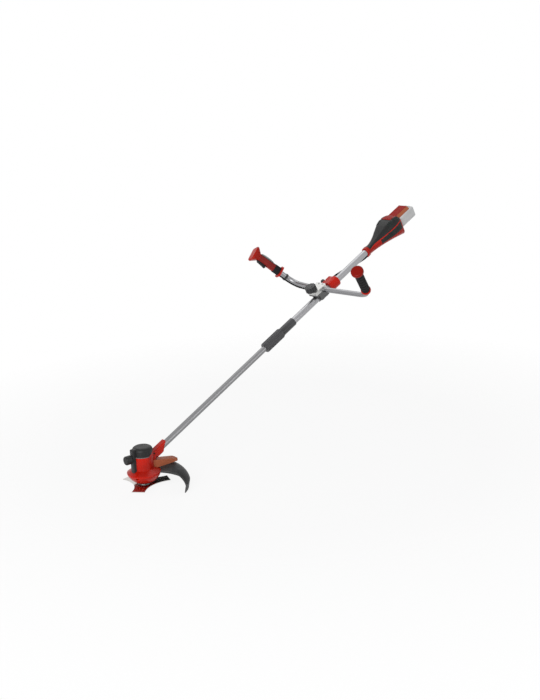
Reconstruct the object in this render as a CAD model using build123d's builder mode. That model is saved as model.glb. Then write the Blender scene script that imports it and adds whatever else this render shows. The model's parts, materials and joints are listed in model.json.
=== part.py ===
from build123d import *
import os
from math import cos, radians, sin

os.makedirs("parts", exist_ok=True)

# Battery trimmer with a three-tooth blade. Lengths in mm, angles in degrees.
# Origin at the free end of the cutter spindle.
# +Z up the spindle, +X back towards the battery, +Y to the user's right.

# Clearances
fit_gap = 0.1          # between fixed pieces that fit in each other
run_gap = 0.05         # round a shaft or pin that turns
slide_gap = 0.2        # round a piece that slides
free_gap = 0.6         # between a moving piece and what it passes

# Cutter stack, from the spindle's free end upwards
spindle_stub = 8.0     # free end below the nut, threaded for a line spool
stub_radius = 4.0
thread_radius = 5.0
nut_height = 9.0
nut_width = 17.0       # across flats
nut_flange_radius = 12.0
nut_flange_height = 2.0
cup_height = 4.0
cup_radius = 28.0
cup_rim = 8.0          # flat ring of the glide cup that bears on the blade
blade_radius = 100.0
blade_thickness = 2.0
blade_bore = 12.7
blade_root = 46.0      # radius at the middle of the hollow between two teeth
blade_tip_angle = 30.0
blade_turn = 220.6     # where the first tooth points
drive_radius = 27.0
drive_thickness = 4.5
drive_hub_radius = 14.0
drive_hub_height = 1.5
drive_boss_share = 0.9 # of the blade's thickness, filled by the flange's boss
head_gap = 2.0         # between the drive hub and the head's underside

# Head shell and cap
wall = 3.5
head_floor_radius = 36.0
rim_radius = 66.0
rim_rise = 34.0
rim_height = 4.0
flare_bulge = 3.0
shoulder_rise = 14.0
can_radius = 40.0
can_height = 105.0
cap_height = 36.0
cap_round = 14.0
saddle_rise = 24.0     # of the shells behind the cap, above its lower edge
spigot_depth = 6.0
spigot_wall = 2.5
bib_half_width = 11.0
bib_reach = 52.0       # of the cap's bib in front of the spindle
bib_drop = 60.0        # of the bib below the cap's lower edge
bib_rise = 34.0        # of the bib above it
bib_round = 5.0
bib_top_round = 0.9 * bib_round
shaft_rise = 27.0      # climb of the shaft above the cutting plane
elbow_height = 68.0    # from the head's underside to where shaft and spindle axes meet
neck_top_length = 124.0
neck_low_length = 93.0
neck_half_height = 16.0
neck_half_width = 15.5
neck_round = 6.0
neck_screw_along = 55.0
neck_screw_up = 10.0   # of the two neck screws above and below the shaft axis
rim_boss_inset = 13.0  # of the rim's screw bosses inside the rim
rim_boss_drop = 6.0
boss_wall = 1.4        # round a screw head
head_seat = 10.0       # from the middle plane to under the head screws' heads

# Motor inside the head
spindle_radius = 8.0
spindle_top_radius = 5.0
motor_wall = 2.9
motor_radius = 35.0
motor_floor = 5.0
bearing_radius = 13.0
bearing_height = 10.0
motor_length = 83.0    # from the motor base's floor to the top plate
top_plate = 5.0
core_length = 46.0
rotor_radius = 18.0
air_gap = 0.6
stator_teeth = 12
stator_tooth = 6.5     # width of a stator tooth
stator_yoke = 5.0
fan_radius = 33.0
fan_height = 8.0
fan_disc = 3.0
fan_blades = 12
fan_blade = 1.6
fan_hub_wall = 6.0

# Lock button at the front of the head
lock_radius = 17.5
lock_length = 22.4
lock_stem_radius = 5.0
lock_travel = 5.0
lock_notch_depth = 7.0

# Guard
bracket_width = 42.0
bracket_root_height = 41.0   # above the guard, at the spindle axis
bracket_tip_height = 10.0    # at the outer end
bracket_reach = 152.0
bracket_round = 3.0
guard_top = 75.0
guard_inner = 70.0
guard_flat = 112.0
guard_radius = 176.0
guard_shoulder = 24.0
guard_foot_radius = 170.0
guard_foot = -6.0
guard_wall = 3.0
guard_angle = 120.0
guard_screw_across = 15.0
guard_screw_spread = 24.0
guard_screw_depth = 10.0

# Small screws
screw_radius = 2.0
screw_head = 3.6
screw_head_height = 3.0
screw_room = 0.4       # round a screw head in its counterbore

# Shafts and coupling, measured along the shaft from the elbow
lower_tube_radius = 12.5
upper_tube_radius = 15.0
tube_wall = 1.5
lower_tube_start = 66.0
coupling_start = 725.0
nut_length = 104.0
coupling_nut_radius = 21.0
nut_ribs = 14
nut_rib_radius = 1.6
coupling_length = 185.0
coupling_radius = 18.5
coupling_neck_radius = 17.0
lower_tube_overlap = 97.0   # of the lower tube inside the coupling
tube_end_gap = 4.0
plug_length = 24.0
plug_pins = 3
pin_radius = 1.5
pin_length = 10.0
pin_circle = 6.0
lead_hole = 6.0        # radius of the way through for the leads
upper_tube_end = 1470.0

# Handlebar and its clamp
clamp_at = 1110.0
clamp_half_length = 20.0
clamp_nose = 50.0      # reach of the clamp in front of the bar, under the star knob
nose_floor = 21.0      # underside of that nose above the shaft axis
clamp_half_width = 27.0
clamp_cap_height = 17.0
clamp_round = 5.0
strap_wing = 7.0       # thickness of the strap beside the tube
strap_wall = 3.2       # and under it
strap_thread = 9.0     # depth of the strap screws in the saddle
strap_nose = 34.0      # reach of the strap in front of the bar
strap_half_width = 27.0
split_gap = 0.3
bar_radius = 11.0
bar_wall = 1.8
bar_rise = 28.0
bar_straight = 45.0
right_reach = 192.0    # from the middle to the right bend, the shorter arm
left_reach = 262.8
bend_up = -14.0
bend_back = 24.0
grip_out = 75.0        # slope of a grip: outwards, upwards and forwards
grip_up = 178.0
grip_forward = 67.0
right_length = 240.0   # from a bend to the end of its grip
left_length = 221.0
bend_radius = 56.0
sweep_radius = 120.0
knob_at = 1070.0
knob_across = 6.0
knob_radius = 22.5
knob_lobe = 4.0
knob_lobes = 12
knob_height = 24.0
knob_bolt_radius = 4.0
knob_bolt_depth = 26.0
strap_screw_across = 22.5
strap_screw_spread = 28.0
cap_screw_back = 14.5
cap_thread = 6.0       # depth of the cap screws in the saddle

# Left grip, measured along the grip axis from the bend
left_grip_start = 54.0
left_grip_radius = 17.0
left_grip_ridge = 1.5
left_grip_ridges = 8
left_collar_length = 8.0
left_collar_radius = 21.0
left_cap_radius = 26.5
left_cap_length = 16.0

# Right control handle, heights from its inner end
handle_length = 156.0
handle_half_front = 17.0
handle_half_side = 15.0
handle_round = 12.0
flange_length = 8.0
flange_half_front = 25.0
flange_half_side = 22.0
flare_length = 24.0
flare_half_front = 33.0
flare_half_side = 26.0
flare_cap = 8.0
bar_depth = 42.0       # of the bar inside the handle
hollow_half = 10.5
hollow_length = 84.0
slot_lead = 8.0        # of a slot past the piece that moves in it
trigger_half_width = 6.0
trigger_pivot_front = 8.0
trigger_pivot_height = 120.0
trigger_reach = 42.0
trigger_bulge = 12.0
trigger_depth = 4.0    # of the trigger inside the handle's front face
trigger_lip = 3.0      # of the trigger's foot, curled forwards
trigger_root = 19.0    # height of the trigger's straight root above its foot
lever_half_width = 4.5
lever_pivot_front = -8.0
lever_pivot_height = 50.0
lever_reach = 66.0
lever_bulge = 10.0
lever_depth = 2.0
lever_sag = 3.6        # bulge of the lever's back between its ends
handle_pin_radius = 2.0
pin_cover = 2.0        # of handle wall over a pin's end
switch_half = 3.0
sleeve_wall = 1.6
sleeve_length = 30.0

# Harness clamp
harness_at = 1182.0
harness_length = 54.0
harness_radius = 25.0
harness_ear = 38.0
harness_ear_half_height = 19.0
harness_slit = 2.0
harness_round = 3.0
eye_across = 52.0
eye_radius = 9.0
eye_rim = 8.0
eye_thickness = 6.0
eye_root = 30.0
eye_half_height = 13.0

# Control cable
cable_radius = 3.5
cable_offset = 15.2    # cable axis from the bar axis
cable_turn = 35.0      # of the cable round the bar, from beside the bend towards its outside
cable_seat = 20.0      # cable axis from the shaft axis
cable_seat_angle = 40.0   # round the shaft from its right side, at the harness clamp
collar_seat_angle = -100.0   # and at the rear collar
wrap_lead = 20.0       # straight run at each end of the turn round the tube
wrap_steps = 4
wrap_bend = 60.0
loop_lead = 13.0       # straight run at each end of the free loop
loop_bend = 18.0
loop_across = 52.0     # lowest corner of the loop, from the middle of the bar
loop_drop = 27.0
loop_back = 15.0
cable_leave = 78.0     # where the cable leaves the bar, from the middle
clip_at = 46.0
clip_width = 9.0
clip_wall = 2.2

# Rear unit, measured along the shaft from the collar's front
rear_start = 1423.0
collar_length = 18.0
collar_radius = 21.0
rear_length = 228.0
front_half = 20.0      # half size of the housing behind the collar
round_share = 0.94     # of the half size, rounded off at the housing's front and waist
waist_at = 66.0
waist_half_width = 23.0
waist_top = 20.0
waist_bottom = 23.0
swell_back = 88.0      # of the swell before the rear end
swell_half_width = 42.0
swell_top = 45.0
swell_bottom = 29.0
rear_half_width = 45.0
rear_top = 46.0
rear_bottom = 51.0
rear_round = 24.0
rear_wall = 3.0
rear_end_wall = 6.0
ridge_front = 6.0      # height of the parting line at the collar
ridge_back = 30.0      # and at the rear end
skin = 1.6             # thickness of trim and vent panels
vent_length = 26.0     # of one slotted vent panel
lower_vents = (83.0, 36.0)   # middles of the vent panels before the rear end
lower_vent_up = 7.0
lower_vent_height = 22.0
upper_vents = (62.0, 20.0)
upper_vent_across = 34.5
upper_vent_width = 14.0
vent_slots = 3
vent_slot = 4.0
vent_border = 3.0
trim_length = 43.0     # of the top trim, up to the rear end
trim_half_width = 27.0
board_half_width = 28.0
board_thickness = 2.0
board_part = 10.0      # height of the parts on the board

# Battery pack and its rail
pack_length = 106.0
pack_half_width = 37.5
pack_top = 32.0
pack_bottom = -18.0
pack_round = 7.0
pack_split = 5.0
pack_wall = 3.0
pack_gap = 0.5         # between the pack and the rear wall
rail_length = 84.0
rail_half_width = 32.0
rail_crown = 46.0
rail_edge = 3.0        # height of the rail's upright edge
rail_crown_half_width = 24.0
rail_stem_half = 14.0
rail_foot_half = 22.0
rail_foot_height = 4.0
rail_drop = 10.0
cell_radius = 9.0
cell_length = 65.0
cell_count = 5
cell_pitch = 18.4
terminal_half_width = 18.0
terminal_height = 6.0
terminal_length = 5.0
terminal_depth = 22.0
terminal_lift = 1.0    # of the terminals above the pack's split
contact_pitch = 11.7
blade_contact = 16.0
latch_half_width = 16.0
latch_height = 11.0
latch_depth = 8.0
latch_proud = 3.0
latch_round = 2.0

# Heights of the cutter stack and the head
nut_z = spindle_stub
cup_z = nut_z + nut_height
blade_z = cup_z + cup_height
drive_z = blade_z + blade_thickness
drive_hub_z = drive_z + drive_thickness
drive_top_z = drive_hub_z + drive_hub_height
head_z = drive_top_z + head_gap
rim_z = head_z + rim_rise
shoulder_z = rim_z + rim_height + shoulder_rise
can_top_z = head_z + can_height
cap_top_z = can_top_z + cap_height
base_z = head_z + wall
base_top_z = base_z + motor_floor
plate_z = base_top_z + motor_length
upper_bearing_z = plate_z + top_plate - bearing_height
fan_z = plate_z + top_plate + 2 * fit_gap
lock_z = fan_z + fan_disc + lock_stem_radius / 2

# Directions and places along the shaft
right = Vector(0, 1, 0)
shaft_dir = Vector(cos(radians(shaft_rise)), 0, sin(radians(shaft_rise)))
shaft_up = Vector(-sin(radians(shaft_rise)), 0, cos(radians(shaft_rise)))
elbow = Vector(0, 0, head_z + elbow_height)


def shaft_point(along, across=0.0, up=0.0):
    """A point by its distance along the shaft, to the right of it and above it."""
    return elbow + shaft_dir * along + right * across + shaft_up * up


def shaft_plane(along, across=0.0, up=0.0):
    """A plane square to the shaft: local x to the right, y up, z backwards."""
    return Plane(origin=shaft_point(along, across, up), x_dir=right, z_dir=shaft_dir)


def shaft_top_plane(along, across=0.0, up=0.0):
    """A plane parallel to the shaft: local x to the right, z up from the shaft."""
    return Plane(origin=shaft_point(along, across, up), x_dir=right, z_dir=shaft_up)


bar_center = shaft_point(clamp_at, 0, bar_rise)


def bar_point(lateral, up, along):
    """A point measured from the middle of the handlebar."""
    return bar_center + right * lateral + shaft_up * up + shaft_dir * along


right_bend = bar_point(right_reach, bend_up, bend_back)
left_bend = bar_point(-left_reach, bend_up, bend_back)
right_dir = (right * grip_out + shaft_up * grip_up - shaft_dir * grip_forward).normalized()
left_dir = (right * -grip_out + shaft_up * grip_up - shaft_dir * grip_forward).normalized()
handle_start = right_length - handle_length


def grip_plane(bend, direction, distance):
    """A plane square to a grip: local x forwards, z outwards along the grip."""
    forward = shaft_dir * -1
    front = (forward - direction * forward.dot(direction)).normalized()
    return Plane(origin=bend + direction * distance, x_dir=front, z_dir=direction)


def left_plane(distance):
    """A plane square to the left grip, by its distance from the bend."""
    return grip_plane(left_bend, left_dir, distance)


def handle_plane(height):
    """A plane square to the right handle, by its height from the inner end."""
    return grip_plane(right_bend, right_dir, handle_start + height)


def handle_side_plane():
    """The middle plane of the right handle: local x forwards, y along the grip from its inner end."""
    base = handle_plane(0)
    return Plane(origin=base.origin, x_dir=base.x_dir, z_dir=base.x_dir.cross(base.z_dir))


def rod(plane, radius, length):
    """A round bar that stands on a plane."""
    with BuildPart() as bar:
        with BuildSketch(plane):
            Circle(radius)
        extrude(amount=length)
    return bar.part


def sleeve(plane, outer, inner, length):
    """A round tube that stands on a plane."""
    with BuildPart() as pipe:
        with BuildSketch(plane):
            Circle(outer)
            Circle(inner, mode=Mode.SUBTRACT)
        extrude(amount=length)
    return pipe.part


def block(plane, width, height, length, round_radius=0.0):
    """A bar of rectangular section that stands on a plane, centred on its origin."""
    with BuildPart() as bar:
        with BuildSketch(plane):
            if round_radius > 0:
                RectangleRounded(width, height, round_radius)
            else:
                Rectangle(width, height)
        extrude(amount=length)
    return bar.part


def turned(*points):
    """A solid turned about the spindle axis from (radius, height) points."""
    with BuildPart() as piece:
        with BuildSketch(Plane.XZ):
            with BuildLine():
                Polyline(*points, close=True)
            make_face()
        revolve(axis=Axis.Z)
    return piece.part


def screw(plane, length):
    """A pan-head screw: its head stands on the plane and its shank runs back through it."""
    with BuildPart() as fastener:
        add(rod(plane, screw_head, screw_head_height))
        add(rod(plane, screw_radius, -length))
    return fastener.part


def save(piece, name):
    """Names a finished piece and writes it out."""
    piece.part.label = name
    export_step(piece.part, f"parts/{name}.step")


# Cutter stack

with BuildPart() as spindle:
    add(rod(Plane.XY, stub_radius, spindle_stub))
    add(rod(Plane.XY.offset(spindle_stub), thread_radius, drive_z - spindle_stub))
    add(rod(Plane.XY.offset(drive_z), spindle_radius, fan_z - drive_z))
    add(rod(Plane.XY.offset(fan_z), spindle_top_radius, fan_height))
save(spindle, "spindle")

with BuildPart() as blade_nut:
    with BuildSketch(Plane.XY.offset(nut_z)):
        RegularPolygon(nut_width / 2, 6, major_radius=False)
    extrude(amount=nut_height)
    add(rod(Plane.XY.offset(nut_z + nut_height - nut_flange_height), nut_flange_radius, nut_flange_height))
    add(rod(Plane.XY.offset(nut_z), thread_radius + run_gap, nut_height), mode=Mode.SUBTRACT)
save(blade_nut, "blade_nut")

with BuildPart() as glide_cup:
    add(turned(
        (thread_radius + run_gap, cup_z),
        (cup_radius - cup_rim, cup_z),
        (cup_radius, blade_z - cup_height / 2),
        (cup_radius, blade_z),
        (thread_radius + run_gap, blade_z),
    ))
save(glide_cup, "glide_cup")

with BuildPart() as blade:
    with BuildSketch(Plane.XY.offset(blade_z)):
        with BuildLine():
            half_tip = blade_tip_angle / 2
            for tooth in range(3):
                middle = blade_turn + 120 * tooth
                tip_start = Vector(blade_radius, 0).rotate(Axis.Z, middle - half_tip)
                tip_end = Vector(blade_radius, 0).rotate(Axis.Z, middle + half_tip)
                hollow = Vector(blade_root, 0).rotate(Axis.Z, middle + 60)
                next_tip = Vector(blade_radius, 0).rotate(Axis.Z, middle + 120 - half_tip)
                Line(tip_start, tip_end)
                ThreePointArc(tip_end, hollow, next_tip)
        make_face()
        Circle(blade_bore, mode=Mode.SUBTRACT)
    extrude(amount=blade_thickness)
save(blade, "blade")

with BuildPart() as drive_flange:
    add(turned(
        (spindle_radius + fit_gap, drive_z),
        (drive_radius, drive_z),
        (drive_radius, drive_z + drive_thickness / 2),
        (drive_hub_radius, drive_hub_z),
        (drive_hub_radius, drive_top_z),
        (spindle_radius + fit_gap, drive_top_z),
    ))
    boss_depth = blade_thickness * drive_boss_share
    add(sleeve(Plane.XY.offset(drive_z), blade_bore - run_gap, thread_radius + fit_gap, -boss_depth))
save(drive_flange, "drive_flange")

# Motor inside the head

with BuildPart() as motor_base:
    floor_radius = head_floor_radius - 2 * wall - fit_gap
    bore = motor_radius - motor_wall
    add(turned(
        (spindle_radius + free_gap, base_z),
        (floor_radius, base_z),
        (motor_radius, base_top_z),
        (motor_radius, plate_z),
        (bore, plate_z),
        (bore, base_top_z),
        (bearing_radius + motor_wall, base_top_z),
        (bearing_radius + motor_wall, base_top_z + bearing_height),
        (bearing_radius + fit_gap, base_top_z + bearing_height),
        (bearing_radius + fit_gap, base_top_z),
        (spindle_radius + free_gap, base_top_z),
    ))
save(motor_base, "motor_base")

with BuildPart() as bearings:
    for bearing_z in (base_top_z, upper_bearing_z):
        add(sleeve(Plane.XY.offset(bearing_z), bearing_radius, spindle_radius + run_gap, bearing_height))
save(bearings, "bearings")

core_z = (base_top_z + bearing_height + upper_bearing_z - core_length) / 2

with BuildPart() as rotor:
    add(sleeve(Plane.XY.offset(core_z), rotor_radius, spindle_radius + fit_gap, core_length))
save(rotor, "rotor")

with BuildPart() as stator:
    stator_radius = motor_radius - motor_wall - fit_gap
    tooth_inner = rotor_radius + air_gap
    with BuildSketch(Plane.XY.offset(core_z)):
        Circle(stator_radius)
        Circle(stator_radius - stator_yoke, mode=Mode.SUBTRACT)
        tooth_length = stator_radius - stator_yoke / 2 - tooth_inner
        with PolarLocations(tooth_inner + tooth_length / 2, stator_teeth):
            Rectangle(tooth_length, stator_tooth)
        Circle(tooth_inner, mode=Mode.SUBTRACT)
    extrude(amount=core_length)
save(stator, "stator")

with BuildPart() as motor_plate:
    add(rod(Plane.XY.offset(plate_z), motor_radius, top_plate))
    add(rod(Plane.XY.offset(upper_bearing_z), bearing_radius + motor_wall, plate_z - upper_bearing_z))
    add(rod(Plane.XY.offset(upper_bearing_z), bearing_radius + fit_gap, bearing_height), mode=Mode.SUBTRACT)
save(motor_plate, "motor_plate")

with BuildPart() as cooling_fan:
    hub = spindle_top_radius + fan_hub_wall
    blade_end = fan_radius - lock_notch_depth
    with BuildSketch(Plane.XY.offset(fan_z)):
        Circle(fan_radius)
        with PolarLocations(fan_radius, fan_blades):
            Rectangle(2 * lock_notch_depth, 2 * (lock_stem_radius + free_gap), mode=Mode.SUBTRACT)
        Circle(spindle_top_radius + fit_gap, mode=Mode.SUBTRACT)
    extrude(amount=fan_disc)
    with BuildSketch(Plane.XY.offset(fan_z)):
        Circle(hub)
        with PolarLocations((hub + blade_end) / 2, fan_blades, start_angle=180 / fan_blades):
            Rectangle(blade_end - hub + fan_blade, fan_blade)
        Circle(spindle_top_radius + fit_gap, mode=Mode.SUBTRACT)
    extrude(amount=fan_height)
save(cooling_fan, "cooling_fan")

# Head shells


def head_envelope(grow):
    """The turned outer shape of the head, larger all round by a margin."""
    with BuildPart() as envelope:
        with BuildSketch(Plane.XZ):
            with BuildLine():
                low = Vector(head_floor_radius + grow, head_z - grow)
                rim = Vector(rim_radius + grow, rim_z)
                middle = (low + rim) / 2 + Vector(flare_bulge, -flare_bulge)
                Line((0, head_z - grow), low)
                ThreePointArc(low, middle, rim)
                Polyline(
                    rim,
                    (rim_radius + grow, rim_z + rim_height),
                    (can_radius + grow, shoulder_z),
                    (can_radius + grow, can_top_z),
                    (0, can_top_z),
                    (0, head_z - grow),
                )
            make_face()
        revolve(axis=Axis.Z)
    return envelope.part


def neck_block(grow):
    """The socket that takes the lower tube, with its slanted end, larger all round by a margin."""
    half_height = neck_half_height + grow
    neck_root = lower_tube_start / 2
    corners = (
        shaft_point(neck_root, 0, half_height),
        shaft_point(neck_top_length + grow, 0, half_height),
        shaft_point(neck_low_length + grow, 0, -half_height),
        shaft_point(neck_root, 0, -half_height),
    )
    with BuildPart() as neck:
        with BuildSketch(Plane.XZ):
            with BuildLine():
                Polyline(*((corner.X, corner.Z) for corner in corners), close=True)
            make_face()
        extrude(amount=neck_half_width + grow, both=True)
        sides = neck.edges().group_by(Axis.Y)
        fillet(sides[0] + sides[-1], neck_round)
    return neck.part


saddle_fall = Plane(
    origin=(0, 0, can_top_z), x_dir=(0, 1, 0), z_dir=(-saddle_rise, 0, can_radius)
)


def saddle(outer, inner, lift):
    """The ring of shell that rises behind the cap, up to a slope that starts over the spindle."""
    with BuildPart() as ring:
        add(sleeve(Plane.XY.offset(can_top_z - wall), outer, inner, saddle_rise + 2 * wall))
        split(bisect_by=saddle_fall.offset(lift), keep=Keep.BOTTOM)
        split(bisect_by=Plane.YZ, keep=Keep.TOP)
    return ring.part


rim_bosses = (
    Vector(rim_radius - rim_boss_inset, 0, rim_z - rim_boss_drop),
    Vector(rim_boss_inset - rim_radius, 0, rim_z - rim_boss_drop),
)
neck_screws = (
    shaft_point(neck_screw_along, 0, neck_screw_up),
    shaft_point(neck_screw_along, 0, -neck_screw_up),
)
head_screw_length = 2 * head_seat


def head_screw_plane(place):
    """Plane under a head screw's head, facing the left side."""
    return Plane(origin=place - right * head_seat, x_dir=(1, 0, 0), z_dir=right * -1)


with BuildPart() as head_shell:
    add(head_envelope(0))
    add(neck_block(0))
    add(saddle(can_radius, can_radius - wall, 0))
    cavity_floor = head_floor_radius - wall
    add(turned(
        (0, base_z),
        (cavity_floor, base_z),
        (rim_radius - 2 * wall, rim_z),
        (can_radius - wall, shoulder_z),
        (can_radius - wall, can_top_z),
        (0, can_top_z),
    ), mode=Mode.SUBTRACT)
    for place in rim_bosses:
        add(rod(head_screw_plane(place), screw_head + boss_wall, -head_screw_length - boss_wall))
        add(rod(head_screw_plane(place), screw_head + boss_wall, screw_head_height))
    add(rod(shaft_plane(lower_tube_start), lower_tube_radius + fit_gap, neck_top_length), mode=Mode.SUBTRACT)
    add(rod(shaft_plane(lower_tube_start / 2), lead_hole, lower_tube_start), mode=Mode.SUBTRACT)
    add(rod(Plane.XY.offset(head_z), drive_hub_radius, 2 * wall), mode=Mode.SUBTRACT)
    lock_plane = Plane(origin=(-rim_radius, 0, lock_z), x_dir=(0, 1, 0), z_dir=(1, 0, 0))
    add(rod(lock_plane, lock_stem_radius + slide_gap, rim_radius / 2), mode=Mode.SUBTRACT)
    for place in rim_bosses + neck_screws:
        under = head_screw_plane(place)
        add(rod(under, screw_head + screw_room, rim_radius), mode=Mode.SUBTRACT)
        add(rod(under, screw_radius + fit_gap, -head_screw_length), mode=Mode.SUBTRACT)

with BuildPart() as head_shell_left:
    add(head_shell.part)
    split(bisect_by=Plane.XZ, keep=Keep.TOP)
save(head_shell_left, "head_shell_left")

with BuildPart() as head_shell_right:
    add(head_shell.part)
    split(bisect_by=Plane.XZ, keep=Keep.BOTTOM)
save(head_shell_right, "head_shell_right")

with BuildPart() as head_screws:
    for place in rim_bosses + neck_screws:
        add(screw(head_screw_plane(place), head_screw_length - fit_gap))
save(head_screws, "head_screws")

# Cap with its front bib, and the lock button that slides in the bib


def bib_block(foot, length):
    """The bib before it is fitted to the head, with its top edges rounded."""
    with BuildPart() as bib:
        add(block(foot, length, 2 * bib_half_width, bib_drop + bib_rise, bib_round))
        fillet(bib.faces().sort_by(Axis.Z)[-1].edges(), bib_top_round)
    return bib.part


with BuildPart() as motor_cap:
    spigot = can_radius - wall - fit_gap
    with BuildSketch(Plane.XZ):
        with BuildLine():
            edge = can_radius - cap_round
            arc_middle = cap_round * cos(radians(45))
            Line((0, cap_top_z), (edge, cap_top_z))
            ThreePointArc(
                (edge, cap_top_z),
                (edge + arc_middle, cap_top_z - cap_round + arc_middle),
                (can_radius, cap_top_z - cap_round),
            )
            Polyline(
                (can_radius, cap_top_z - cap_round),
                (can_radius, can_top_z),
                (spigot, can_top_z),
                (spigot, can_top_z - spigot_depth),
                (spigot - spigot_wall, can_top_z - spigot_depth),
                (spigot - spigot_wall, cap_top_z - cap_round),
                (edge, cap_top_z - wall),
                (0, cap_top_z - wall),
                (0, cap_top_z),
            )
        make_face()
    revolve(axis=Axis.Z)
    bib_root = can_radius - wall - spigot_wall - bib_round
    bib_foot = Plane.XY.offset(can_top_z - bib_drop) * Pos(-(bib_reach + bib_root) / 2, 0)
    add(bib_block(bib_foot, bib_reach - bib_root))
    add(rod(Plane.XY.offset(can_top_z), spigot - spigot_wall, cap_height - cap_round), mode=Mode.SUBTRACT)
    add(head_envelope(fit_gap), mode=Mode.SUBTRACT)
    add(saddle(2 * can_radius, spigot, fit_gap), mode=Mode.SUBTRACT)
    add(sleeve(Plane.XY.offset(can_top_z - spigot_depth), spigot, spigot - spigot_wall, spigot_depth + wall))
    add(neck_block(fit_gap), mode=Mode.SUBTRACT)
    add(rod(lock_plane, lock_stem_radius + slide_gap, rim_radius / 2), mode=Mode.SUBTRACT)
save(motor_cap, "motor_cap")

lock_rest = Plane(
    origin=(-bib_reach - lock_travel - free_gap, 0, lock_z), x_dir=(0, 1, 0), z_dir=(-1, 0, 0)
)

with BuildPart() as lock_button:
    add(rod(lock_rest, lock_radius, lock_length))
    fillet(lock_button.edges().group_by(Axis.X)[0], lock_radius / 4)
    stem_length = -lock_rest.origin.X - fan_radius - free_gap
    add(rod(lock_rest, lock_stem_radius, -stem_length))
save(lock_button, "lock_button")

# Guard and its bracket

screw_middle = (guard_inner + guard_flat) / 2
bracket_fall = bracket_root_height - bracket_tip_height
bracket_slope = Plane(
    origin=(0, 0, guard_top + bracket_root_height), x_dir=(0, 1, 0), z_dir=(bracket_fall, 0, bracket_reach)
)

with BuildPart() as guard_bracket:
    bracket_start = can_radius / 2
    bracket_length = bracket_reach - bracket_start
    with BuildSketch(Plane.XY.offset(guard_top)):
        with Locations((bracket_start + bracket_length / 2, 0)):
            RectangleRounded(bracket_length, bracket_width, bracket_width / 4)
    extrude(amount=bracket_root_height)
    split(bisect_by=bracket_slope, keep=Keep.BOTTOM)
    slope_axis = Axis(bracket_slope.origin, bracket_slope.z_dir)
    fillet(guard_bracket.faces().sort_by(slope_axis)[-1].edges(), bracket_round)
    add(head_envelope(fit_gap), mode=Mode.SUBTRACT)
    add(neck_block(fit_gap), mode=Mode.SUBTRACT)
    with BuildSketch(Plane.XY.offset(guard_top)):
        with Locations((screw_middle, 0)):
            with GridLocations(guard_screw_spread, 2 * guard_screw_across, 2, 2):
                Circle(screw_radius + fit_gap)
    extrude(amount=guard_screw_depth, mode=Mode.SUBTRACT)
save(guard_bracket, "guard_bracket")

with BuildPart() as guard:
    start = radians(guard_angle / 2)
    guard_plane = Plane(
        origin=(0, 0, 0), x_dir=(cos(start), -sin(start), 0), z_dir=(-sin(start), -cos(start), 0)
    )
    inner_shoulder = (guard_radius - guard_wall, guard_shoulder)
    inner_flat = (guard_flat, guard_top - guard_wall)
    with BuildSketch(guard_plane):
        with BuildLine():
            Line((guard_inner, guard_top), (guard_flat, guard_top))
            TangentArc((guard_flat, guard_top), (guard_radius, guard_shoulder), tangent=(1, 0))
            Polyline(
                (guard_radius, guard_shoulder),
                (guard_foot_radius, guard_foot),
                (guard_foot_radius - guard_wall, guard_foot),
                inner_shoulder,
            )
            TangentArc(inner_flat, inner_shoulder, tangent=(1, 0))
            Polyline(inner_flat, (guard_inner, guard_top - guard_wall), (guard_inner, guard_top))
        make_face()
    revolve(axis=Axis.Z, revolution_arc=guard_angle)
    with BuildSketch(Plane.XY.offset(guard_top - guard_wall)):
        with Locations((screw_middle, 0)):
            with GridLocations(guard_screw_spread, 2 * guard_screw_across, 2, 2):
                Circle(screw_radius + fit_gap)
    extrude(amount=guard_wall, mode=Mode.SUBTRACT)
save(guard, "guard")

with BuildPart() as guard_screws:
    under_guard = guard_top - guard_wall
    for along in (-1, 1):
        for across in (-1, 1):
            place = (screw_middle + along * guard_screw_spread / 2, across * guard_screw_across, under_guard)
            seat = Plane(origin=place, x_dir=(1, 0, 0), z_dir=(0, 0, -1))
            add(screw(seat, guard_wall + guard_screw_depth - fit_gap))
save(guard_screws, "guard_screws")

# Shafts and coupling

lower_tube_end = coupling_start + lower_tube_overlap
upper_tube_start = lower_tube_end + tube_end_gap

with BuildPart() as lower_tube:
    tube_length = lower_tube_end - lower_tube_start
    add(sleeve(shaft_plane(lower_tube_start), lower_tube_radius, lower_tube_radius - tube_wall, tube_length))
save(lower_tube, "lower_tube")

with BuildPart() as upper_tube:
    tube_length = upper_tube_end - upper_tube_start
    add(sleeve(shaft_plane(upper_tube_start), upper_tube_radius, upper_tube_radius - tube_wall, tube_length))
save(upper_tube, "upper_tube")

body_front = coupling_start + coupling_nut_radius / 4
nut_end = coupling_start + nut_length
coupling_end = coupling_start + coupling_length

with BuildPart() as coupling_nut:
    with BuildSketch(shaft_plane(coupling_start)):
        Circle(coupling_nut_radius)
        with PolarLocations(coupling_nut_radius, nut_ribs):
            Circle(nut_rib_radius)
        Circle(lower_tube_radius + free_gap, mode=Mode.SUBTRACT)
    extrude(amount=nut_length)
    with BuildSketch(shaft_plane(body_front - fit_gap)):
        Circle(coupling_neck_radius + run_gap)
    extrude(amount=nut_length, mode=Mode.SUBTRACT)
save(coupling_nut, "coupling_nut")

with BuildPart() as coupling_body:
    add(rod(shaft_plane(body_front), coupling_neck_radius, nut_end - body_front))
    add(rod(shaft_plane(nut_end + fit_gap), coupling_radius, coupling_end - nut_end - fit_gap))
    add(rod(shaft_plane(nut_end), coupling_neck_radius, fit_gap))
    add(rod(shaft_plane(body_front), lower_tube_radius + slide_gap, coupling_length), mode=Mode.SUBTRACT)
    add(rod(shaft_plane(upper_tube_start), upper_tube_radius + fit_gap, coupling_length), mode=Mode.SUBTRACT)
save(coupling_body, "coupling_body")

plug_start = lower_tube_end - plug_length
socket_start = upper_tube_start + tube_wall

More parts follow.
